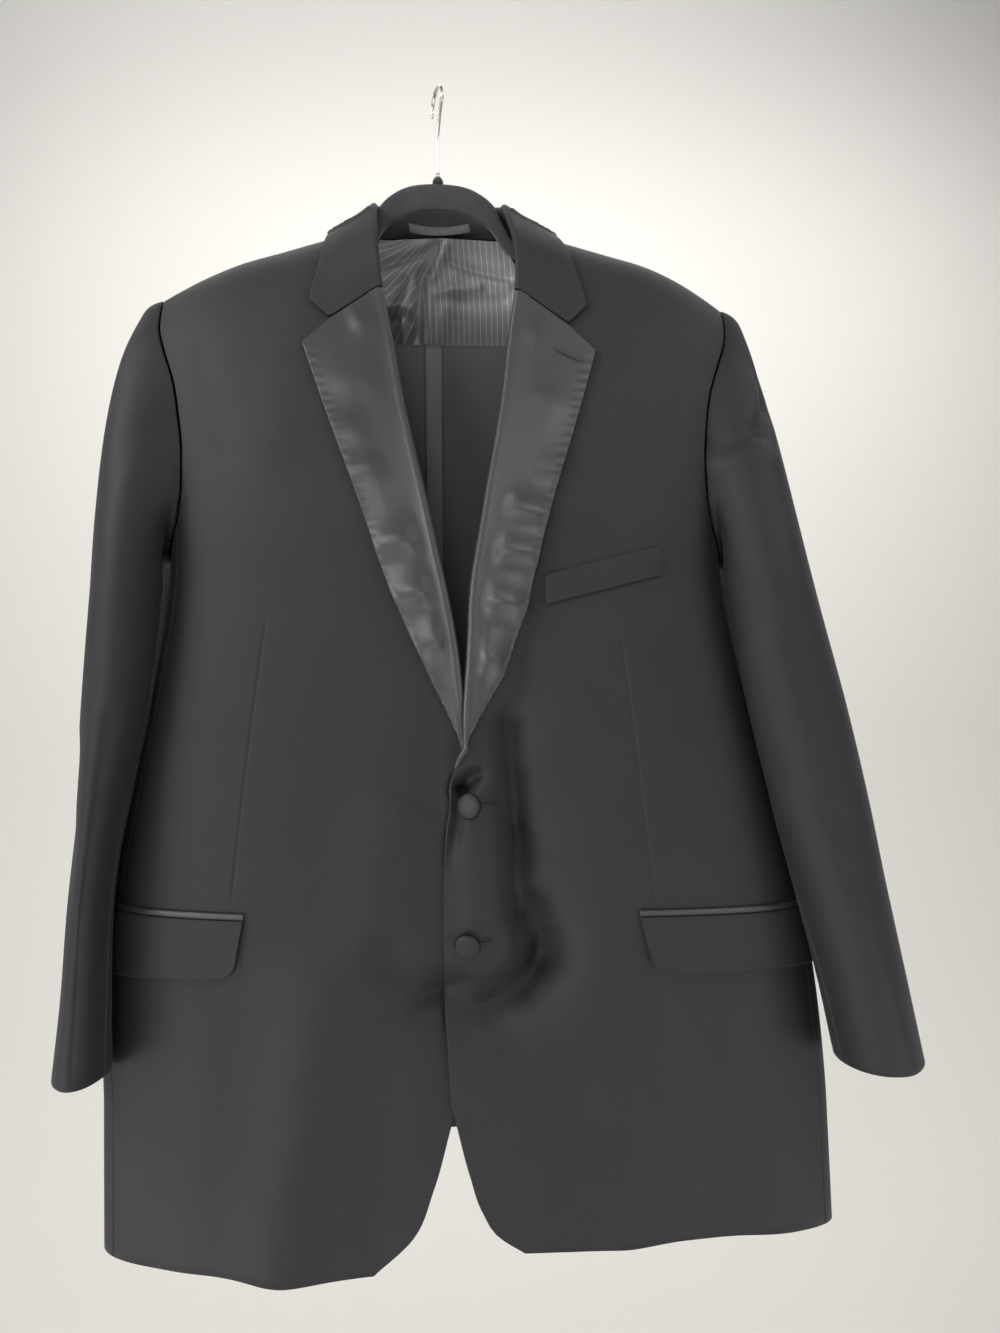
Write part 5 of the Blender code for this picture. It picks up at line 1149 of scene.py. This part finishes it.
def add_buttonholes():
    """The stitched ends of the buttonholes that show beside the buttons, and the one on the lapel."""
    for word, across, height in BUTTONS:
        for n, offset in enumerate((0.0009, -0.0009)):
            z = height + 0.0020 + offset
            thread_bar(f"buttonhole_{word}_{n}", (across, z), (across + BUTTONHOLE_LENGTH, z), 0.0004, "wool")
    for n, offset in enumerate((0.0008, -0.0008)):
        ends = ((x, z + offset) for x, z in LAPEL_BUTTONHOLE)
        thread_bar(f"buttonhole_lapel_{n}", *ends, 0.0056, "satin")


def add_lining():
    """The lining of the back, as far as it shows below the neck, hanging a little loose in folds."""
    across = np.linspace(-LINING_HALF, LINING_HALF, LINING_GRID[1])
    top = read(BACK_NECK, np.abs(across), "height") - LINING_WALL
    under_ridge = LINING_UNDER_RIDGE + 1.2 * np.maximum(np.abs(across) - LINING_SHOULDER, 0)
    top = np.minimum(top, ridge(across) - under_ridge)
    height = mix(top, LINING_LOW, np.linspace(0, 1, LINING_GRID[0])[:, None] ** 1.2)
    across = across + 0 * height
    middle = across - PLEATS["across"] - PLEATS["lean"] * (height - PLEATS["height"])
    apart = PLEATS["apart"]
    pleats = sum(np.exp(-((middle + off) / PLEATS["width"]) ** 2) for off in (apart, -apart))
    loose = mix(LINING_NEAR, LINING_LOOSE, ease(*LOOSE_FROM, height))
    loose = mix(loose, LINING_NEAR, ease(*LOOSE_TO, height))
    loose = loose + PLEATS["rise"] * pleats * ease(*PLEATS["from"], height)
    loose = loose + RIDGE_ROOM * np.exp((height - ridge(across)) / RIDGE_ROOM_RUN)
    folds = sum(line_rise(row, across, height) for row in LINING_FOLDS)
    loose = np.maximum(loose + folds * ease(*FOLDS_FROM, height), LINING_LEAST)
    depth = np.sqrt(squared_depth(across, height, True)) - WALL - loose
    face = np.stack([across, depth, height], -1)
    turn = np.arctan2(-(across - FAN_PIVOT[0]), -(height - FAN_PIVOT[1]))
    left_of = ease(*TUCK_BLEND, across - np.interp(height, *TUCK_LINE))
    uv = np.stack([mix(across, -turn * FAN_RADIUS, left_of), height], -1)
    back = face + np.array([0, LINING_WALL, 0])
    sewn("lining_back", face, back, uv, "lining")


def add_label():
    """The bare label on the inside of the collar stand, held at its top, its lower edge standing off."""
    half = collar_half()
    share = np.linspace(0, 1, LABEL_GRID[0])[:, None, None]
    across = np.linspace(-LABEL_HALF, LABEL_HALF, LABEL_GRID[1])[None, :, None]
    middle = mix(half[-1, 0], half[-1, STAND_COLUMNS - 1], mix(LABEL_TOP, LABEL_LOW, share))
    middle = middle + across * np.array([1.0, 0, 0])
    bend = (np.abs(across) / 0.045) ** 2 * LABEL_BEND
    curl = LABEL_CURL * share ** 2 + LABEL_WAVE * share ** 3 * np.sin(across * 95 + 0.6)
    off = LEAF / 2 + LABEL_OFF + bend + curl
    face, back = (middle - np.array([0, 1.0, 0]) * (off + wall) for wall in (LABEL_WALL, 0))
    uv = np.concatenate([across + 0 * share, share * 0.02 + 0 * across], -1)
    sewn("neck_label", face, back, uv, "label")


# ---- Trousers ----

def leg_path(radius, closed_at):
    """Distance along, y and z, and outward direction of a leg: up the front, over the bar, down behind."""
    over = np.linspace(-np.pi / 2, np.pi / 2, 25)
    drop = np.linspace(0, 1, 70) ** 1.3
    back_drop = LEG_LENGTH - FRONT_DROP - OVER_BAR
    front = np.stack([-radius + 0 * drop, BAR_HEIGHT - FRONT_DROP * drop], -1)[:0:-1]
    cap = np.stack([radius * np.sin(over), BAR_HEIGHT + radius * np.cos(over)], -1)
    back = np.stack([radius + 0 * drop, BAR_HEIGHT - back_drop * drop], -1)[1:]
    path = np.concatenate([front, cap, back])
    along = run_of(path)
    closing = (radius - closed_at) * ease(0, -CLOSING_RUN, path[:, 1] - BAR_HEIGHT)
    path[:, 0] -= np.sign(path[:, 0]) * closing
    tangent = unit(np.gradient(path, axis=0))
    return along, path, np.stack([-tangent[:, 1], tangent[:, 0]], -1)


def leg_edge(column):
    return lambda along: read(LEG_EDGES, along, column)


def stripe_edge(half):
    return lambda along: STRIPE_ACROSS + half + 0 * along


def add_trousers():
    half, lift = TROUSER_WALL / 2, TROUSER_WALL / 2 + SEAM_GAP
    stripe = stripe_edge(-STRIPE_WIDTH / 2), stripe_edge(STRIPE_WIDTH / 2)
    # The legs' trouser finish is a lightened copy of the jacket's wool: painted light
    legs = "wool", "trouser", (leg_edge("back"), leg_edge("front")), LEG_COLUMNS
    # The stripes' finish is a lightened copy of the lapels' satin: painted light
    stripes = "satin", "stripe", stripe, STRIPE_COLUMNS
    for node, path_of, low, high, rests_on, (slot, finish, (left, right), columns) in (
        ("trouser_leg_inner", LEG_INNER, -half, half, "hanger_body_flocked", legs),
        ("trouser_leg_outer", LEG_OUTER, -half, half, "trouser_leg_inner_cloth", legs),
        ("stripe_outer", LEG_OUTER, lift, lift + SATIN, "trouser_leg_outer_cloth", stripes),
        ("stripe_inner", LEG_INNER, -lift - SATIN, -lift, "trouser_leg_inner_cloth", stripes),
    ):
        along, path, out = leg_path(**path_of)
        x = mix(left(along)[:, None], right(along)[:, None], np.linspace(0, 1, columns))
        face, back = (
            np.stack([x, *((path[:, n:n + 1] + out[:, n:n + 1] * off + 0 * x) for n in (0, 1))], -1)
            for off in (high, low)
        )
        uv = np.stack([x, along[:, None] + 0 * x], -1)
        sewn(node, face, back, uv, slot, finish, tilted)


def flat_loop(left, right, y, half):
    """A flattened loop between two edges, as x and y."""
    turn = turns(WAISTBAND_SIDES)
    return mix(left, right, (1 + powered(np.cos(turn), 0.5)) / 2), y + half * powered(np.sin(turn), 0.5)


def add_waistband():
    """The waistband, a loop folded flat across both legs where they end, open at its top."""
    end = leg_path(**LEG_OUTER)[1][-1, 1]
    middle = (LEG_INNER["closed_at"] + LEG_OUTER["closed_at"]) / 2
    layers = []
    for tuck in (0, WAISTBAND_WALL):
        rings = []
        for run in LEG_LENGTH + np.linspace(0.001, WAISTBAND_HEIGHT, 14):
            left, right = leg_edge("back")(run) + tuck, leg_edge("front")(run) - tuck
            x, y = flat_loop(left, right, middle, WAISTBAND_THICKNESS / 2 - tuck)
            rings.append(tilted(np.stack([x, y, np.full(len(x), end - (run - LEG_LENGTH))], -1)))
        layers.append(np.array(rings))
    outer, inner = layers
    skin = tube(np.concatenate([outer, inner[::-1]]), closed=True)
    made = fitting("waistband_cloth", skin, "wool", "waistband", uv=skin[0][:, [0, 2]])


# ---- Hanger ----

def add_hanger():
    """The flocked body: one closed band from the neck arch down the arms and along the trouser bar."""
    half = np.stack(list(HANGER.values()), -1)
    middle = np.array([[0, BAR_HEIGHT, BAR_RADIUS]])
    outline = refined_loop(np.concatenate([half, middle, half[:0:-1] * np.array([-1, 1, 1])]), 8)
    tangent = unit(np.roll(outline, -1, 0)[:, :2] - np.roll(outline, 1, 0)[:, :2])
    angles = turns(28, 0.5)
    thick = np.minimum(HANGER_THICKNESS / 2, outline[:, 2])
    rings = []
    for (x, z, tall), (along_x, along_z), deep in zip(outline, tangent, thick):
        up, out = tall * powered(np.cos(angles), 0.6), deep * powered(np.sin(angles), 0.6)
        rings.append(np.stack([x - along_z * up, out, z + along_x * up], -1))
    skin = tube(tilted(rings), closed=True)
    fitting("hanger_body_flocked", skin, "flock", "hanger_body", uv=skin[0][:, [0, 2]])


def refined_loop(points, times):
    """A closed run of points, made smooth through them."""
    a, b, c, d = (np.roll(points, shift, 0) for shift in (1, 0, -1, -2))
    square, cube = 2 * a - 5 * b + 4 * c - d, 3 * b - a - 3 * c + d
    parts = [0.5 * (2 * b + (c - a) * t + square * t * t + cube * t ** 3) for t in np.arange(times) / times]
    return np.stack(parts, 1).reshape(-1, points.shape[1])


def hook_route():
    """Middle of the hook's wire: up from the boss, out to the front, over the rail and down behind it."""
    angle = np.radians(np.linspace(210, 0, 70) - 20)
    centre = WIRE_RADIUS - HOOK_RADIUS
    loop = np.stack([HOOK_RADIUS * np.cos(angle), centre + HOOK_RADIUS * np.sin(angle)], -1)
    rise = np.linspace(0, 1, 24)[:-1, None]
    foot, knee = np.array([0, BOSS_TIP + 0.0003]), np.array([0, HOOK_KNEE])
    bend = (1 - rise) ** 2 * knee + 2 * rise * (1 - rise) * (knee + [0, 0.010]) + rise ** 2 * loop[0]
    bend[:, 0] = mix(bend[:, 0], 0.75 * loop[0, 0] * rise[:, 0] ** 1.5, 0.4)
    flat = np.concatenate([mix(foot, knee, np.linspace(0, 1, 8)[:-1, None]), bend, loop])
    turn = np.radians(HOOK_TURN)
    return np.stack([-flat[:, 0] * np.sin(turn), flat[:, 0] * np.cos(turn), flat[:, 1]], -1)


def add_boss():
    """The ferrule that the hook turns in, standing on the arch."""
    angles = turns(40)
    circle = np.stack([np.cos(angles), np.sin(angles) * 0.9, 0 * angles], -1) * BOSS_RADIUS
    rings = [circle * radius + np.array([0, 0, z]) for radius, z in BOSS_PROFILE]
    skin = tube(tilted(rings))
    fitting("hanger_boss_flocked", skin, "flock", "hanger_boss", uv=skin[0][:, [0, 2]])


def add_hook():
    """The wire, swept round its route, its tip rounded."""
    route = tilted(hook_route())
    turn = np.radians(HOOK_TURN)
    across = np.array([np.cos(turn), np.sin(turn), 0.0])
    other = unit(np.cross(unit(np.gradient(route, axis=0)), across))
    radii = np.full(len(route), WIRE_RADIUS)
    radii[-3:] *= (0.96, 0.80, 0.45)
    fitting("hanger_hook_wire", swept(route, radii, across, other, 20), "steel", "hanger_hook")


# ---- Materials ----

class Paint:
    """A node material in the making; its place is the flat cloth's coordinate or, off cloth, the object's."""

    def __init__(self, name, on_cloth=True):
        self.material = bpy.data.materials.new(name)
        self.material.use_nodes = True
        self.tree = self.material.node_tree
        self.place = self.node("UVMap") if on_cloth else self.node("TexCoord", output=3)

    def connect(self, made, inputs):
        """Sets a node's inputs, which are values or other nodes' outputs."""
        for key, value in inputs.items():
            if isinstance(value, bpy.types.NodeSocket):
                self.tree.links.new(value, made.inputs[key])
            else:
                made.inputs[key].default_value = value

    def node(self, kind, inputs=(), output=0, **settings):
        """One output of a new shader node with these settings and inputs."""
        made = self.tree.nodes.new("ShaderNode" + kind)
        for key, value in settings.items():
            setattr(made, key, value)
        self.connect(made, dict(inputs))
        return made.outputs[output]

    def times(self, a, b, plus=None):
        """a times b, and plus a third if given."""
        if plus is None:
            return self.node("Math", {0: a, 1: b, 2: 0.0}, operation="MULTIPLY")
        return self.node("Math", {0: a, 1: b, 2: plus}, operation="MULTIPLY_ADD")

    def blend(self, share, dark, light):
        """A colour between two, each three numbers or another node's output."""
        dark, light = (end if isinstance(end, bpy.types.NodeSocket) else (*end, 1) for end in (dark, light))
        return self.node("Mix", {0: share, 6: dark, 7: light}, 2, data_type="RGBA")

    def threads(self, period, direction="X", distortion=0.3):
        """Bands of thread, this far apart in metres, across the flat cloth."""
        inputs = {"Vector": self.place, "Scale": BAND_SCALE / period, "Distortion": distortion}
        inputs.update({"Detail": 1.0, "Detail Scale": 2.0})
        return self.node("TexWave", inputs, 1, wave_type="BANDS", bands_direction=direction)

    def cloud(self, scale, detail=3.0, stretch=None):
        """Soft noise, if wished stretched by three scales along the axes."""
        place = self.place
        if stretch:
            place = self.node("Mapping", {"Vector": place, "Scale": stretch})
        return self.node("TexNoise", {"Vector": place, "Scale": scale, "Detail": detail})

    def scaled(self, value, settings, **more):
        return self.node("MapRange", {"Value": value, **settings}, **more)

    def done(self, colour, roughness, relief=None, sheen=(), **values):
        """The material: relief is the bump's height, strength and distance; sheen weight, roughness, tint."""
        inputs = {"Base Color": colour, "Roughness": roughness, **values}
        inputs.update(zip(("Sheen Weight", "Sheen Roughness", "Sheen Tint"), sheen))
        if relief:
            height, strength, distance = relief
            bump = self.node("Bump", {"Strength": strength, "Distance": distance, "Height": height})
            inputs["Normal"] = bump
        self.connect(self.tree.nodes["Principled BSDF"], inputs)
        return self.material


def wool(name, dark, light):
    paint = Paint(name)
    twill, warp = paint.threads(0.0008, "DIAGONAL", 0.5), paint.threads(0.0005, "X", 0.4)
    weave = paint.times(twill, 0.6, paint.times(warp, 0.4))
    soft, fine = paint.cloud(22.0), paint.cloud(900.0, 2.0)
    colour = paint.blend(paint.times(soft, 0.6, paint.times(fine, 0.4)), dark, light)
    relief, sheen = (paint.times(fine, 0.5, weave), 0.35, 0.00025), (0.09, 0.35, (0.80, 0.82, 0.88, 1))
    return paint.done(colour, 0.62, relief, sheen, **{"Specular IOR Level": 0.42})


def satin(name, dark, light, gloss=0.68, low=0.34, high=0.46, rim=0.0):
    """Satin; rim, if given, paints shade on it: darker towards that distance from the middle of its cloth, a
    painted contact shadow round a button's edge.
    """
    paint = Paint(name)
    yarn = paint.threads(0.00035, "Y", 0.6)
    slub = paint.cloud(1.0, 2.0, (60.0, 900.0, 1.0))
    colour = paint.blend(paint.cloud(45.0), dark, light)
    if rim:
        # Painted shade: darker towards the rim, standing for the contact shadow between a button and the
        # cloth under it
        out = paint.node("VectorMath", {0: paint.place}, 1, operation="LENGTH")
        edge = paint.scaled(out, {"From Min": rim * 0.86, "From Max": rim * 0.97})
        colour = paint.blend(edge, colour, PAINTED_RIM_SHADE)
    rough = paint.scaled(slub, {"To Min": low, "To Max": high})
    relief, sheen = (paint.times(slub, 0.6, yarn), 0.35, 0.00020), (0.10, 0.30, (0.85, 0.87, 0.92, 1))
    return paint.done(colour, rough, relief, sheen, **{"IOR": 1.6, "Specular IOR Level": gloss})


def striped_lining(name, dark, light):
    paint = Paint(name)
    u = paint.node("SeparateXYZ", {"Vector": paint.place})
    away = paint.node("Math", {0: u, 1: STRIPE_PITCH / 2, 2: 0.0}, operation="PINGPONG")
    stripe = paint.scaled(away, {"From Min": 0.00060, "From Max": 0.00020}, interpolation_type="SMOOTHSTEP")
    worn = paint.times(stripe, paint.times(paint.cloud(260.0), 0.6, 0.5))
    colour, relief = paint.blend(worn, dark, light), (paint.threads(0.0004, "Y", 0.4), 0.15, 0.0001)
    return paint.done(colour, 0.42, relief, (0.15, 0.4), **{"Specular IOR Level": 0.6})


def woven_label(name, dark, light):
    paint = Paint(name)
    relief = paint.threads(0.0003, "Y", 0.3), 0.2, 0.0001
    return paint.done(paint.blend(paint.cloud(300.0), dark, light), 0.45, relief, (0.2,))


def flock(name, dark, light):
    paint = Paint(name, on_cloth=False)
    relief, sheen = (paint.cloud(2600.0, 2.0), 0.7, 0.0004), (0.7, 0.35, (0.75, 0.80, 0.85, 1))
    colour = paint.blend(paint.cloud(60.0), dark, light)
    return paint.done(colour, 0.95, relief, sheen, **{"Specular IOR Level": 0.2})


def steel(name):
    paint = Paint(name, on_cloth=False)
    drawn = paint.cloud(1.0, 3.0, (2000.0, 2000.0, 60.0))
    rough = paint.scaled(drawn, {"To Min": 0.16, "To Max": 0.34})
    return paint.done((0.72, 0.70, 0.66, 1), rough, Metallic=1.0)


def plain(name, colour):
    paint = Paint(name, on_cloth=False)
    return paint.done(paint.blend(paint.cloud(1.3), colour, [channel * 0.985 for channel in colour]), 0.9)


# ---- Stage, light and camera ----

def add_stage():
    """A pale floor that sweeps up behind."""
    turn = np.linspace(0, np.pi / 2, 24)
    y = np.concatenate([[-FLOOR_REACH], SWEEP_Y - SWEEP_RADIUS + SWEEP_RADIUS * np.sin(turn), [SWEEP_Y]])
    z = FLOOR_HEIGHT + np.concatenate([[0], SWEEP_RADIUS * (1 - np.cos(turn)), [SWEEP_TOP]])
    points = [[a, b, c] for b, c in zip(y, z) for a in (-FLOOR_REACH, FLOOR_REACH)]
    faces = [(2 * i, 2 * i + 1, 2 * i + 3, 2 * i + 2) for i in range(len(y) - 1)]
    build_mesh("sweep", points, faces, None, plain("pale_floor", (0.80, 0.78, 0.74)))


def add_lights():
    for name, place, target, size, power in LIGHTS:
        lamp = bpy.data.lights.new(name, "AREA")
        lamp.shape, lamp.size, lamp.size_y, lamp.energy = "RECTANGLE", *size, power
        made = bpy.data.objects.new(name, lamp)
        made.location = place
        made.rotation_euler = (Vector(target) - Vector(place)).to_track_quat("-Z", "Y").to_euler()
        bpy.context.scene.collection.objects.link(made)
    world = bpy.data.worlds.new("studio")
    world.use_nodes = True
    background = world.node_tree.nodes["Background"]
    background.inputs[0].default_value = WORLD_COLOUR
    background.inputs[1].default_value = WORLD_STRENGTH
    bpy.context.scene.world = world
    bpy.context.scene.view_settings.view_transform = "Standard"


def add_camera():
    forward = Vector(CAMERA_FORWARD).normalized()
    right = forward.cross(Vector(CAMERA_UP)).normalized()
    up = right.cross(forward)
    data = bpy.data.cameras.new("camera")
    data.sensor_fit, data.sensor_height, data.lens = "VERTICAL", 36.0, CAMERA_LENS
    made = bpy.data.objects.new("camera", data)
    axes = Matrix((right, up, -forward)).transposed().to_4x4()
    made.matrix_world = Matrix.Translation(CAMERA_PLACE) @ axes
    bpy.context.scene.collection.objects.link(made)
    bpy.context.scene.camera = made


def main():
    add_camera()
    FINISH.update(
        wool=wool("wool_worsted", *COLOURS["wool"]),
        # Painted light: the trousers' wool, lighter than the jacket's for the shade it hangs in
        trouser=wool("wool_trousers_painted_lighter", *COLOURS["trouser"]),
        satin=satin("satin_black", *COLOURS["satin"]),
        # Painted light: the stripes' satin, lighter than the lapels' for the shade it lies in
        stripe=satin("satin_stripe_painted_lighter", *COLOURS["stripe"]),
        # The button's satin has painted shade round its rim
        button=satin("satin_button_painted_rim_shade", *COLOURS["button"], 0.20, 0.40, 0.48, BUTTON_RADIUS),
        lining=striped_lining("lining_pinstripe", *COLOURS["lining"]),
        label=woven_label("label_bare", *COLOURS["label"]),
        flock=flock("velvet_flock", *COLOURS["flock"]),
        steel=steel("steel_wire"),
    )
    for add in (
        add_hanger, add_boss, add_hook, add_trousers, add_waistband, add_body_panels, add_sleeves, add_lapels,
        add_collar, add_hip_pockets, add_welt, add_buttons, add_buttonholes, add_lining, add_label, add_stage,
        add_lights,
    ):
        add()


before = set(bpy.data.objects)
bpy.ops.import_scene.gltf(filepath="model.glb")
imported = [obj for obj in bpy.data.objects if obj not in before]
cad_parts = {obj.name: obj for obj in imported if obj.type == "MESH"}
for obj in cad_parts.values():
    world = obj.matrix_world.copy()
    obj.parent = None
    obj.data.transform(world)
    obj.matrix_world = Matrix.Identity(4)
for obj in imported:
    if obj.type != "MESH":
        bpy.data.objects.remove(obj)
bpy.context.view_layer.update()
FINISH = {}
main()
